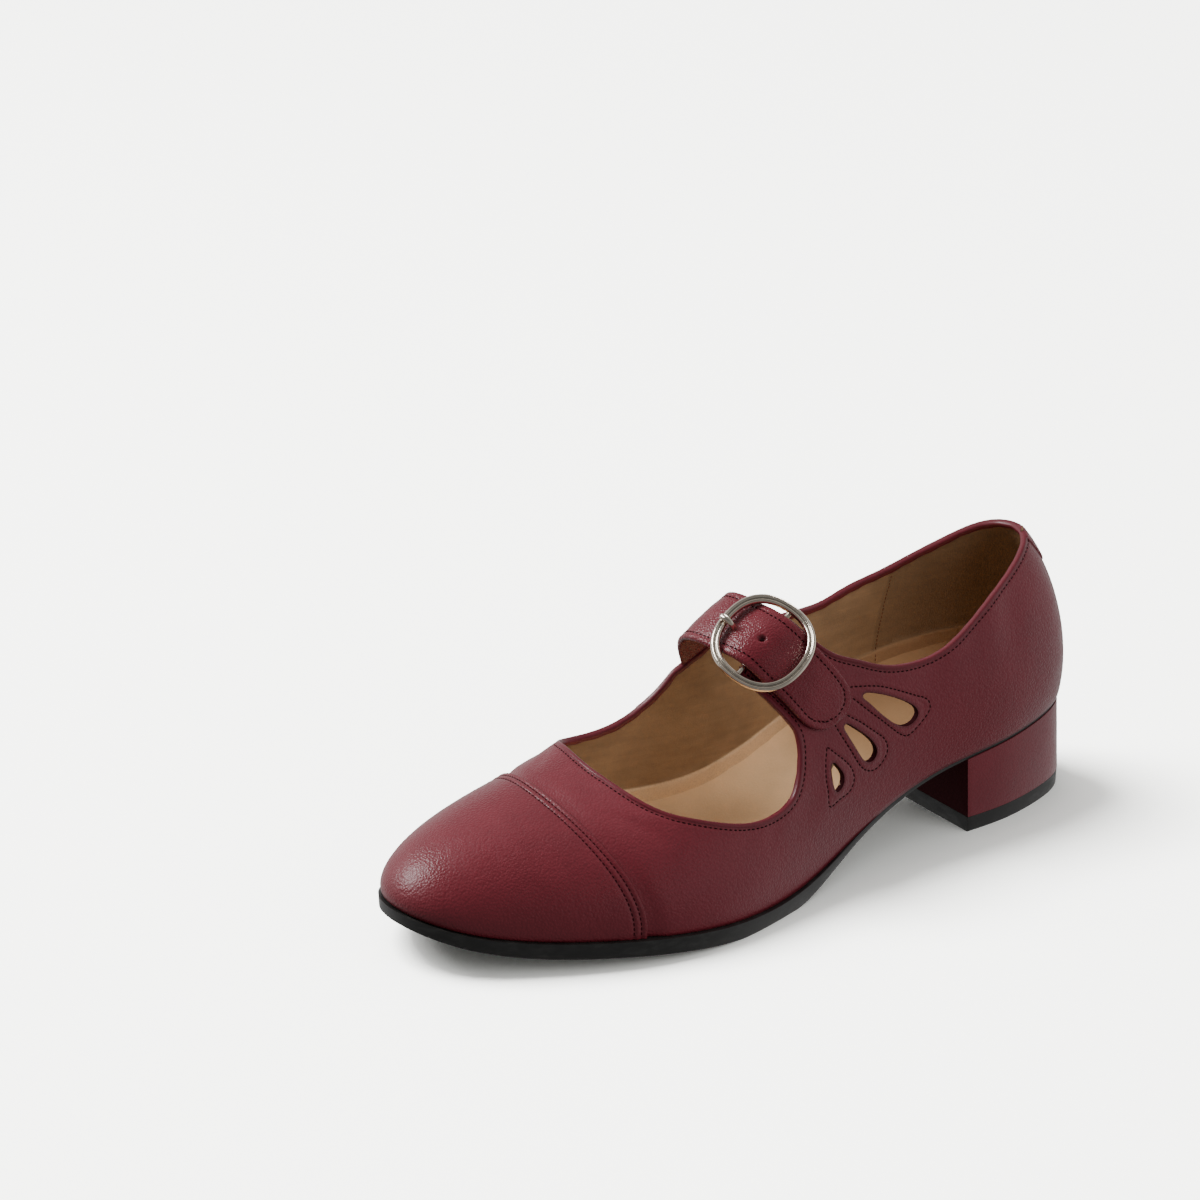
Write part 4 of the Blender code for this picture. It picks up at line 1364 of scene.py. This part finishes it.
class SHOE_OT_lining(bpy.types.Operator):
    """Tan lining inside the upper, with the heel grip's seam"""
    bl_idname = "shoe.lining"
    bl_label = "Lining"

    def execute(self, context):
        skin = context.scene.shoe_leather
        bm, _, _ = upper_sheet(*LINING_MESH)

        def over_sock(points):
            return points[:, 2] - FEATHER_Z(HEEL_Y - points[:, 1]) - SOCK_RISE

        def in_sock(points):
            return np.clip(1 - over_sock(points) / SOCK_STEP, 0, 1)

        for shift in (0.0, SOCK_STEP):
            cut_by_level(bm, lambda points: over_sock(points) - shift, keep=True)
        paint(bm, "sock", in_sock(coordinates(bm)))

        def height(points):
            lean = LINING_SEAM_LEAN * (points[:, 2] - LINING_SEAM_HEIGHT)
            station = HEEL_Y - points[:, 1] + lean
            low = smooth_step((34 - points[:, 2] + FEATHER_Z(station)) / 22)
            waves = np.sin(points[:, 2] * 1.7 + np.sin(station * 0.11) * 1.5)
            relief = 0.10 * waves * low * smooth_step((station - 70) / 20)
            relief += 0.25 * (1 - smooth_step((station - LINING_SEAM + 0.4) / 0.8))
            relief -= 0.45 * in_sock(points)
            groove = bell(station - LINING_SEAM + LINING_SEAM_WIDTH, 0.5)
            return -WALL + 0.05 + relief * 0.8 - 0.12 * groove

        displace(bm, height)
        bmesh.ops.reverse_faces(bm, faces=bm.faces)
        inside = Surface(bm)
        seam_y = (HEEL_Y - LINING_SEAM - LINING_SEAM_LEAN * LINING_SEAM_HEIGHT) * MM
        sock_colour = tuple(c * share for c, share in zip(skin.footbed, SOCK_TINT))
        tan = finish_named("tan_lining", lining, tuple(skin.inside), sock_colour, seam_y)
        add_piece("lining", bm, tan, wall=WALL - skin.skin - 0.1)
        brown = finish_named("lining_thread", thread, LINING_THREAD)
        add_stitches("lining_stitches", inside, [self.seam_row(side) for side in (-1, 1)],
                     brown, 0.8, 0.45)
        return {'FINISHED'}

    def seam_row(self, side):
        """Points of the last along the seam's stitches on one side, from the sole up."""
        rises = np.linspace(0.08, 0.9, 80)
        level = last(outline_angle(LINING_SEAM, side), rises)[:, 2] - LINING_SEAM_HEIGHT
        stations = LINING_SEAM - LINING_SEAM_WIDTH - LINING_SEAM_LEAN * level
        row = last(outline_angle(stations, side), rises)
        return row[outside_upper(row) < -2.5]


# share of half a turn where the cap's sheet starts and ends; both halvings of its faces
CAP_TURNS = (0.56, 1.44)
CAP_BANDS = (7.0, 5.2)
# relief of the cap: rolls behind and between its stitch rows, their grooves, its cut edge
CAP_EDGE_ROLL = 0.16
CAP_MIDDLE_ROLL = 0.10
CAP_GROOVE = 0.24
CAP_EDGE_DROP = 0.12
CAP_THREAD_SHARE = 2.2


class SHOE_OT_toe_cap(bpy.types.Operator):
    """Toe cap laid over the vamp, with two rows of stitches along its edge"""
    bl_idname = "shoe.toe_cap"
    bl_label = "Toe cap"

    def execute(self, context):
        sewing = context.scene.shoe_sewing
        rows = tuple(sewing.cap_rows)
        bm = last_sheet(260, 46, CAP_TURNS)
        for band in CAP_BANDS:
            refine(bm, lambda points: np.abs(past_cap_seam(points) - band / 2 + 1) < band / 2)
        cut_by_level(bm, lambda points: -past_cap_seam(points))
        face_outward(bm)

        def height(points):
            past = past_cap_seam(points)
            relief = CAP_PROUD + CAP_EDGE_ROLL * bell(past - 0.35, 0.5)
            relief += CAP_MIDDLE_ROLL * bell(past - 2.45, 0.6)
            for row in rows:
                relief -= CAP_GROOVE * bell(past - row, 0.45)
            return relief - CAP_EDGE_DROP * bell(past, 0.25)

        displace(bm, height)
        # painted shade: darker along both stitch rows and at the cap's cut edge
        past = past_cap_seam(coordinates(bm))
        sewn = bell(past - rows[0], 0.3) + bell(past - rows[1], 0.3)
        paint(bm, "wear", np.minimum(1.0, 0.25 * sewn + 0.7 * bell(past, 0.25)))
        outside = Surface(bm)
        add_piece("toe_cap_leather", bm, leather_named("burgundy_leather"),
                  ["toe_cap"], wall=0.9)
        red = finish_named("cap_thread", thread, shade(sewing.thread, CAP_THREAD_SHARE))
        add_stitches("cap_stitches", outside, [self.seam_row(row) for row in rows],
                     red, 0.95)
        return {'FINISHED'}

    def seam_row(self, distance):
        """Points of the last at one distance in front of the cap's edge, lateral to medial."""
        rises = np.linspace(0.02, 1.0, 90)
        halves = []
        for side in (1, -1):
            def behind(angle):
                return past_cap_seam(last(side * angle, rises)) < distance

            near, _ = halved(np.full(90, 1.2), np.full(90, math.pi), behind, 30)
            halves.append(last(side * near, rises))
        return np.vstack([halves[0], halves[1][-2::-1]])


STRAP_EDGE_STEPS = 6
STRAP_COLUMNS = 44
STRAP_TIP_LENGTH = 11.0
STRAP_TIP_POWER = 2.3
STRAP_STRAIGHT = STRAP_TIP - STRAP_TIP_LENGTH
# the hole that the prong goes through: along and across the strap, radius, width of its edge
HOLE_PLACE = (19.7, -0.6)
HOLE_RADIUS = 0.75
HOLE_EDGE = 0.4
HOLE_DEPTH = 1.4
# relief of the strap: raised inside its stitch row, and the row's groove
STRAP_PAD = 0.28
STRAP_GROOVE = 0.20


def strap_half_width(t):
    past = np.clip((t - STRAP_STRAIGHT) / STRAP_TIP_LENGTH, 0, 1)
    shape = np.maximum(0.02, (1 - past ** STRAP_TIP_POWER))
    return STRAP_WIDTH / 2 * shape ** (1 / STRAP_TIP_POWER)


def strap_outline(inset):
    """A row round the strap's tip at a distance inside its edge: along and across."""
    t = np.concatenate([
        np.linspace(STRAP_START - 4, STRAP_STRAIGHT, 120),
        STRAP_TIP - STRAP_TIP_LENGTH * np.cos(np.linspace(0, math.pi / 2, 60))[1:]])
    edge = np.stack([t, strap_half_width(t), 0 * t], -1)
    edge = np.vstack([edge, edge[::-1] * (1, -1, 1)])
    run = tangents(edge, False)
    return edge + np.stack([-run[:, 1], run[:, 0], run[:, 2]], -1) * -inset


def strap_underside(t, across):
    dome = STRAP_DOME * bell(t - RING_CENTRE, STRAP_DOME_LENGTH)
    return STRAP_RISE(t) - dome * (2 * across / STRAP_WIDTH) ** 4


class SHOE_OT_strap(bpy.types.Operator):
    """Strap from under the medial quarter, through the ring, to its rounded tip"""
    bl_idname = "shoe.strap"
    bl_label = "Strap"

    def execute(self, context):
        sewing = context.scene.shoe_sewing
        row = strap_outline(sewing.strap_row)
        quarter_turn = np.linspace(0, math.pi / 2, 34)
        along = np.concatenate([
            np.linspace(STRAP_START - 5, STRAP_STRAIGHT, 130),
            STRAP_TIP - STRAP_TIP_LENGTH * (1 - np.sin(quarter_turn))[1:]])
        half_turn = np.linspace(-math.pi / 2, math.pi / 2, STRAP_EDGE_STEPS + 2)[1:-1]
        flat = np.linspace(-1, 1, STRAP_COLUMNS)
        # side of the section (-1 to 1), reach of the rounded edge, height share
        section = [(c, 0.0, 1.0) for c in flat]
        section += [(1.0, math.cos(a), math.sin(a)) for a in half_turn[::-1]]
        section += [(c, 0.0, -1.0) for c in flat[::-1]]
        section += [(-1.0, -math.cos(a), math.sin(a)) for a in half_turn]
        section = np.array(section)

        def place(u, v):
            i = np.rint(u * (len(along) - 1)).astype(int)
            j = np.rint(v * len(section)).astype(int) % len(section)
            t = along[i]
            half = strap_half_width(t)
            tip = np.clip((STRAP_TIP - t) / 1.2, 0, 1)
            wall = STRAP_WALL(t) / 2 * np.sqrt(np.maximum(1 - (1 - tip) ** 2, 0.0))
            edge = np.minimum(wall * 0.9, half)
            across = section[j, 0] * (half - edge) + section[j, 1] * edge
            reach = np.hypot(*(np.stack([t, across], -1)[:, None] - row[None, ::3, :2]).T).min(0)
            inner = np.clip((half - np.abs(across) - sewing.strap_row) / 5, 0, 1)
            hole = np.hypot(t - HOLE_PLACE[0], across - HOLE_PLACE[1]) - HOLE_RADIUS
            relief = STRAP_PAD * smooth_step(inner) - STRAP_GROOVE * bell(reach, 0.5)
            relief -= HOLE_DEPTH * (1 - smooth_step(hole / HOLE_EDGE))
            relief = np.where(section[j, 2] > 0.99, relief, 0)
            middle = strap_underside(t, across) + STRAP_WALL(t) / 2
            return STRAP_MAP.point(t, across, middle + section[j, 2] * wall + relief)

        bm = warped_grid(len(along) - 1, len(section), place)
        fill_ends(bm)
        face_outward(bm)
        # painted shade: the leather round and in the prong hole darkened to near black, the shade
        # of the hole
        hole = STRAP_MAP.point(*HOLE_PLACE, STRAP_RISE(HOLE_PLACE[0]) + 1.4)
        past = np.linalg.norm(coordinates(bm) - hole, axis=1) - HOLE_RADIUS
        paint(bm, "wear", 1.3 * np.maximum(0.0, 1 - np.maximum(0.0, past) / 0.35))
        outside = Surface(bm)
        add_piece("strap_band", bm, leather_named("strap_grain"), ["strap"],
                  sharp=None)
        lifted = STRAP_MAP.point(row[:, 0], row[:, 1], STRAP_RISE(row[:, 0]) + 2.6)
        add_stitches("strap_stitches", outside, [lifted])
        return {'FINISHED'}


def fill_ends(bm):
    rim = [edge for edge in bm.edges if edge.is_boundary]
    if rim:
        bmesh.ops.holes_fill(bm, edges=rim, sides=0)


# outline of the ring's wire: away from its middle and out of its plane
RING_PROFILE = [
    (-1.50, -0.50), (-1.42, 0.35), (-0.95, 0.98), (-0.42, 1.02), (-0.10, 0.62),
    (0.25, 0.66), (0.62, 1.10), (1.15, 0.86), (1.50, 0.15), (1.46, -0.75), (0.90, -1.25),
    (-0.95, -1.2),
]
RING_SQUARENESS = 0.024
TAB_WIDTH = 18.5
TAB_THICKNESS = 0.9
# middle lines of the tab and the prong: along the strap and out, from the middle of the bar
TAB_PATH = [
    (9.0, -3.9), (6.5, -3.2), (4.5, -2.3), (1.7, -0.8), (0.95, -0.25), (0.0, 0.15),
    (-0.95, -0.25), (-1.35, -1.2), (-0.95, -2.15), (0.0, -2.55), (1.6, -2.6),
]
PRONG_PATH = [
    (-0.6, -2.2), (0.4, -1.6), (0.5, -0.7), (-0.4, -0.1), (-1.8, -0.9), (-5.5, -2.2),
    (-8.6, -2.1), (-10.0, -0.9), (-10.8, 0.5), (-11.9, 1.7), (-13.1, 2.1), (-14.4, 1.9),
    (-15.4, 1.4),
]
PRONG_SHIFT = -1.5
PRONG_RADIUS = 0.85
PRONG_STEP = 0.35


def smooth_path(points, spacing):
    """Evenly spaced points of a curve through a few given ones."""
    points = np.asarray(points, float)
    run = run_along(points)
    places = np.linspace(0, run[-1], max(4, round(run[-1] / spacing)))
    return np.stack([spline(run, points[:, k])(places) for k in range(points.shape[1])], -1)


def through_ring(path, spacing, shift):
    """Points along a path through the ring, and the ways across the strap and out there."""
    path = smooth_path(path, spacing)
    points = np.stack([path[:, 0], np.full(len(path), shift), path[:, 1]], -1)
    points = np.array(RING_POINT) + points @ np.array([RING_ALONG, RING_ACROSS, RING_OUT])
    across = np.broadcast_to(np.array(RING_ACROSS), points.shape)
    return points, across, np.cross(tangents(points, False), across)


class SHOE_OT_buckle(bpy.types.Operator):
    """Ring with its bar, the prong and the folded leather tab that holds them"""
    bl_idname = "shoe.buckle"
    bl_label = "Buckle"

    def execute(self, context):
        metal = finish_named("nickel", plated_metal, tuple(context.scene.shoe_leather.metal))
        self.ring(metal)
        self.prong(metal)
        self.tab()
        return {'FINISHED'}

    def ring(self, metal):
        """A turned wire, squared a little, with dark reflection painted in its groove and shade
        painted on its lower flanks.
        """
        bm = bmesh.new()
        profile = round_profile(RING_PROFILE, 2)
        verts = [bm.verts.new((RING_RADIUS + x, 0, z)) for x, z in profile]
        edges = [bm.edges.new((a, b)) for a, b in zip(verts, verts[1:] + verts[:1])]
        bmesh.ops.spin(
            bm, geom=verts + edges, axis=(0, 0, 1), cent=(0, 0, 0), steps=144,
            angle=2 * math.pi, use_merge=True)
        bmesh.ops.remove_doubles(bm, verts=bm.verts, dist=MERGE_DISTANCE)
        x, y, z = coordinates(bm).T
        square = 1 - RING_SQUARENESS * np.cos(4 * np.arctan2(y, x))
        for vert, share in zip(bm.verts, square):
            vert.co.xy = vert.co.xy * share
        face_outward_ring(bm)
        # painted reflection and shade: dark along the groove and on the lower flanks
        groove = (z > 0) * bell(np.hypot(x, y) - RING_RADIUS + 0.02, 0.22)
        painted_flank_shade = smooth_step((-0.1 - z) / 0.5)
        paint(bm, "tarnish", np.minimum(1.0, groove + 0.75 * painted_flank_shade))
        bar = bmesh.new()
        lie = Matrix.Translation((0, 0, -BAR_DROP)) @ Matrix.Rotation(math.pi / 2, 4, 'X')
        bmesh.ops.create_cone(
            bar, cap_ends=True, segments=20, radius1=BAR_RADIUS, radius2=BAR_RADIUS,
            depth=2 * RING_RADIUS, matrix=lie)
        join(bm, bar)
        bmesh.ops.transform(
            bm, matrix=Matrix.Translation(RING_POINT) @ RING_TURN.to_4x4(), verts=bm.verts)
        add_piece("ring_and_bar", bm, metal, ["buckle_ring"],
                  sharp=math.radians(60))

    def prong(self, metal):
        """A round wire, thicker towards its tip and rounded off at both ends."""
        points, across, out = through_ring(PRONG_PATH, PRONG_STEP, PRONG_SHIFT)
        share = np.linspace(0, 1, len(points))
        size = 0.9 + 0.30 * smooth_step((share - 0.45) / 0.2)
        ends = np.minimum(share, 1 - share) * (len(points) - 1) * PRONG_STEP
        size = size * np.sqrt(np.clip(1 - (1 - np.clip(ends / 0.9, 0, 1)) ** 2, 0.0, 1))
        bm = sweep(points, across, out, circle_profile(PRONG_RADIUS, 16), False, size)
        add_piece("prong", bm, metal, ["buckle_prong"])

    def tab(self):
        """A strip of leather folded round the bar."""
        half = TAB_WIDTH / 2
        wall = TAB_THICKNESS / 2
        profile = round_profile([(-half, -wall), (half, -wall), (half, wall), (-half, wall)], 2)
        bm = sweep(*through_ring(TAB_PATH, 0.4, 0.0), profile, False)
        fill_ends(bm)
        face_outward_ring(bm)
        add_piece("bar_tab", bm, leather_named("tab_grain"), ["buckle_tab"])


def face_outward_ring(bm):
    """Turn the faces of a closed piece outward, where its middle may lie outside it."""
    bmesh.ops.recalc_face_normals(bm, faces=bm.faces)
    if bm.calc_volume(signed=True) < 0:
        bmesh.ops.reverse_faces(bm, faces=bm.faces)
    bm.normal_update()


def plank(first, final, section, count, bevel, segments=3):
    """A solid laid across the shoe from one station to another.

    section(stations) gives a list of (share across, outset, height) arrays round the outside.
    """
    angles = np.linspace(outline_angle(first, 1), outline_angle(final, 1), count + 1)
    rows = section(HALF * (1 - np.cos(angles)))
    shares = np.array([row[0] for row in rows])
    outsets, heights = (
        np.array([np.broadcast_to(row[k], angles.shape) for row in rows]) for k in (1, 2))

    def place(u, v):
        i = np.rint(u * count).astype(int)
        j = np.rint(v * len(rows)).astype(int) % len(rows)
        lateral = outline(angles[i], outsets[j, i])
        medial = outline(-angles[i], outsets[j, i])
        weight = (shares[j] + 1) / 2
        x = lateral[0] * weight + medial[0] * (1 - weight)
        y = lateral[1] * weight + medial[1] * (1 - weight)
        return np.stack([x, y, heights[j, i]], -1)

    bm = warped_grid(count, len(rows), place)
    fill_ends(bm)
    face_outward_ring(bm)
    edges = [e for e in bm.edges if e.is_manifold and e.calc_face_angle() > BEVEL_FROM]
    bmesh.ops.bevel(
        bm, geom=edges, offset=bevel, offset_type='OFFSET', segments=segments, profile=0.5,
        affect='EDGES', material=-1, clamp_overlap=True)
    return bm


def box_section(top, low, columns=9, dish=0.0, cup=0.0):
    """Outline of a plank from its (outset, height) at the top and bottom, its sides cupped up."""
    shares = np.sin(np.linspace(math.pi / 2, -math.pi / 2, columns))
    rows = [(s, top[0], top[1] - dish * (1 - s * s) + cup * s ** 6) for s in shares]
    rows += [(s, low[0], low[1]) for s in shares[::-1]]
    return rows


# angle of the edges that a plank has rounded, in radians
BEVEL_FROM = 0.75
# from the feather line down to the sole, and from the block up to the sole
SOLE_GAP = 0.3
BLOCK_GAP = 0.05
# the footbed: its inset, how far its sides cup up and where that ends, its dish and columns
BED_INSET = 2.3
BED_CUP = 6.5
BED_CUP_END = 165
BED_CUP_FADE = 35
BED_DISH = 0.7
BED_COLUMNS = 33


class SHOE_OT_bottom(bpy.types.Operator):
    """Sole, insole, leather covered heel block and its rubber top lift"""
    bl_idname = "shoe.bottom"
    bl_label = "Sole and heel"

    def execute(self, context):
        skin = context.scene.shoe_leather

        def sole(s):
            edge = SOLE_EDGE(s)
            low = np.maximum(0.0, FEATHER_Z(s) - SOLE_GAP - SOLE_THICKNESS(s))
            return box_section((edge, FEATHER_Z(s) - SOLE_GAP * 0.3), (edge - 0.2, low))

        def bed(s):
            front = smooth_step((s - BED_CUP_END) / BED_CUP_FADE)
            inset = -(BED_INSET + front)
            cup = BED_CUP * (1 - front) * smooth_step(s / 12)
            top = (inset + 0.2 * cup, FEATHER_Z(s) + 2.6)
            return box_section(top, (inset, FEATHER_Z(s) + 0.2), BED_COLUMNS, BED_DISH, cup)

        def block(s):
            seat = FEATHER_Z(s) - SOLE_GAP - SOLE_THICKNESS(s) - BLOCK_GAP
            return box_section((-0.3, seat), (0.5, TOP_LIFT + 0.12))

        def lift(_):
            return box_section((0.45, TOP_LIFT), (0.25, 0.0))

        black = finish_named("black_rubber", rubber, tuple(skin.rubber))
        worn = finish_named("black_lift", rubber, shade(skin.rubber, 0.8), 0.5)
        tan = finish_named("tan_footbed", footbed, tuple(skin.footbed))
        cover = leather_named("heel_grain")
        # the heel's front face takes a darker, matt leather: painted shade from under the arch
        painted_breast_shade = finish_named("breast_grain", raw_edge, shade(skin.upper, 0.42))
        add_piece("sole", plank(0, LENGTH, sole, 150, 0.9), black, ["outsole"])
        add_piece("footbed", plank(0, LENGTH, bed, 110, 0.5), tan, ["insole"])
        heel = plank(0, HEEL_BREAST, block, 46, 1.1, 4)
        # faces of the heel's front take the second finish, with its painted shade
        for face in heel.faces:
            face.material_index = int(HEEL_Y - face.calc_center_median().y > HEEL_BREAST - 0.1)
        piece = add_piece("heel_cover", heel, cover, ["heel_block"])
        piece.data.materials.append(painted_breast_shade)
        add_piece("heel_lift", plank(0, HEEL_BREAST, lift, 46, 0.5), worn,
                  ["top_lift"])
        return {'FINISHED'}


# The studio. Places are given as shares of the ways to the right of the picture, into it and up

MIDDLE_OF_SHOE = Vector((0, 0, 0.04))
FLOOR_HALF = 9.0
# the brightest part of the sky, its range of brightness, and how it falls off with height
SKY_SIDE = (0.12, 0.9, 0.3)
SKY_RANGE = (0.22, 0.88)
SKY_HIGH = 0.50
SKY_COLOUR = (1.0, 0.995, 0.985, 1.0)
# pieces that some lamps are kept to
LIT_ALONE = {
    "inside_only": ("lining", "lining_stitches", "footbed"),
    "metal_only": ("ring_and_bar", "prong"),
}
# name, place, its scale, size, setting of its power and share of that, seen in shine, kept to
LAMPS = [
    ("key", (-1.0, 0.22, 0.8), 1.15, 0.55, "key", 0.62, True, None),
    ("key_soft", (-1.0, 0.22, 0.8), 1.15, 0.8, "key", 0.42, False, None),
    ("top", (-0.3, 0.35, 1.2), 1.1, 1.0, "key", 0.5, False, None),
    ("fill", (0.9, -0.7, 0.35), 1.3, 1.5, "key", 0.56, False, None),
    ("inside", (0.55, -0.25, 1.2), 1.0, 0.7, "inside", 1.0, False, "inside_only"),
    ("metal_left", (-0.9, -0.35, 1.0), 1.0, 0.6, "key", 0.5, True, "metal_only"),
    ("metal_back", (0.45, 1.1, 0.9), 1.0, 0.5, "key", 0.4, True, "metal_only"),
]
# name, way to it, spread in degrees, share of the floor's light
SUNS = [
    ("floor_key", (-0.55, 0.25, 1.0), 30, 1.0),
    ("floor_top", (0.0, 0.0, 1.0), 120, 0.12),
]
CAMERA_PLACE = (1.2474, -0.94995, 0.7787)
CAMERA_LENS = 168.27
CAMERA_SENSOR = 36.0


class SHOE_OT_studio(bpy.types.Operator):
    """Pale floor, soft lights and the camera"""
    bl_idname = "shoe.studio"
    bl_label = "Studio"

    def execute(self, context):
        studio = context.scene.shoe_studio
        floor = self.floor(context, studio)
        right = Vector((math.cos(studio.azimuth), math.sin(studio.azimuth), 0))
        ahead = Vector((-math.sin(studio.azimuth), math.cos(studio.azimuth), 0))

        def way(shares):
            return right * shares[0] + ahead * shares[1] + Vector((0, 0, 1)) * shares[2]

        self.sky(context, way(SKY_SIDE).normalized(), studio.sky)
        kept_to = {name: self.group(name, [bpy.data.objects[piece] for piece in pieces])
                   for name, pieces in LIT_ALONE.items()}
        for name, shares, scale, size, power, share, shine, group in LAMPS:
            offset = way(shares) * scale
            body = self.lamp(context, name, 'AREA', MIDDLE_OF_SHOE + offset, offset,
                             kept_to.get(group), getattr(studio, power) * share)
            body.data.shape = 'DISK'
            body.data.size = size
            body.visible_glossy = shine
        lit = self.group("floor_only", [floor])
        for name, shares, spread, share in SUNS:
            body = self.lamp(context, name, 'SUN', Vector((0, 0, 2)), way(shares), lit,
                             studio.floor_light * share)
            body.data.angle = math.radians(spread)
        self.camera(context, studio)
        return {'FINISHED'}

    def floor(self, context, studio):
        """A wide floor that neither colours the shoe nor shows in its shine."""
        bm = bmesh.new()
        bmesh.ops.create_grid(bm, x_segments=2, y_segments=2, size=FLOOR_HALF)
        mesh = bpy.data.meshes.new("floor")
        bm.to_mesh(mesh)
        bm.free()
        mesh.materials.append(finish_named("floor_paper", paper_floor, tuple(studio.floor)))
        floor = bpy.data.objects.new("floor", mesh)
        context.scene.collection.objects.link(floor)
        floor.visible_diffuse = False
        floor.visible_glossy = False
        return floor

    def group(self, name, objects):
        """A collection that lamps can be kept to."""
        collection = bpy.data.collections.new(name)
        for item in objects:
            collection.objects.link(item)
        return collection

    def sky(self, context, bright_side, strength):
        """Soft light from all round, strongest from the bright side and dull from the other."""
        world = bpy.data.worlds.new("studio")
        world.use_nodes = True
        context.scene.world = world
        nodes = Nodes(world.node_tree)
        heading = nodes.node("ShaderNodeTexCoord", {}, {}, "Generated")
        facing = nodes.node(
            "ShaderNodeVectorMath", {"operation": 'DOT_PRODUCT'},
            {0: heading, 1: tuple(bright_side)}, "Value")
        height = nodes.node("ShaderNodeSeparateXYZ", {}, {0: heading}, 2)
        glow = facing.limit(-0.7, 0.75, *(share * strength for share in SKY_RANGE))
        glow = glow * height.limit(0.05, 0.65, 1.0, SKY_HIGH)
        background = world.node_tree.nodes["Background"]
        background.inputs["Color"].default_value = SKY_COLOUR
        world.node_tree.links.new(glow.socket, background.inputs["Strength"])

    def lamp(self, context, name, kind, place, heading, kept_to, power):
        """A lamp that shines back against its heading, on some pieces alone or on all."""
        body = bpy.data.objects.new(name, bpy.data.lights.new(name, kind))
        body.data.energy = power
        body.location = place
        body.rotation_euler = (-heading).to_track_quat('-Z', 'Y').to_euler()
        body.light_linking.receiver_collection = kept_to
        context.scene.collection.objects.link(body)
        return body

    def camera(self, context, studio):
        lens = bpy.data.cameras.new("camera")
        lens.lens = CAMERA_LENS
        lens.sensor_width = CAMERA_SENSOR
        lens.clip_start = 0.01
        lens.clip_end = 50.0
        body = bpy.data.objects.new("camera", lens)
        body.location = CAMERA_PLACE
        a, e = studio.azimuth, studio.elevation
        back = Vector((math.sin(a) * math.cos(e), -math.cos(a) * math.cos(e), math.sin(e)))
        body.rotation_euler = (-back).to_track_quat('-Z', 'Y').to_euler()
        context.scene.collection.objects.link(body)
        context.scene.camera = body


OPERATORS = (
    SHOE_OT_upper, SHOE_OT_lining, SHOE_OT_toe_cap, SHOE_OT_strap, SHOE_OT_buckle,
    SHOE_OT_bottom, SHOE_OT_studio,
)
SETTINGS = {
    "shoe_leather": ShoeLeather,
    "shoe_sewing": ShoeSewing,
    "shoe_studio": ShoeStudio,
}


class SHOE_PT_panel(bpy.types.Panel):
    bl_idname = "SHOE_PT_panel"
    bl_label = "Mary Jane shoe"
    bl_space_type = 'VIEW_3D'
    bl_region_type = 'UI'
    bl_category = "Shoe"

    def draw(self, context):
        for group, kind in SETTINGS.items():
            values = getattr(context.scene, group)
            box = self.layout.box()
            for name in kind.__annotations__:
                box.prop(values, name)
        for operator in OPERATORS:
            self.layout.operator(operator.bl_idname)


def register():
    for kind in (*SETTINGS.values(), *OPERATORS, SHOE_PT_panel):
        bpy.utils.register_class(kind)
    for group, kind in SETTINGS.items():
        setattr(bpy.types.Scene, group, bpy.props.PointerProperty(type=kind))


def unregister():
    for group in SETTINGS:
        delattr(bpy.types.Scene, group)
    for kind in (SHOE_PT_panel, *reversed(OPERATORS), *SETTINGS.values()):
        bpy.utils.unregister_class(kind)


def main():
    register()
    for operator in OPERATORS:
        group, name = operator.bl_idname.split(".")
        getattr(getattr(bpy.ops, group), name)()
    bpy.context.view_layer.update()


if __name__ == "__main__":
    main()
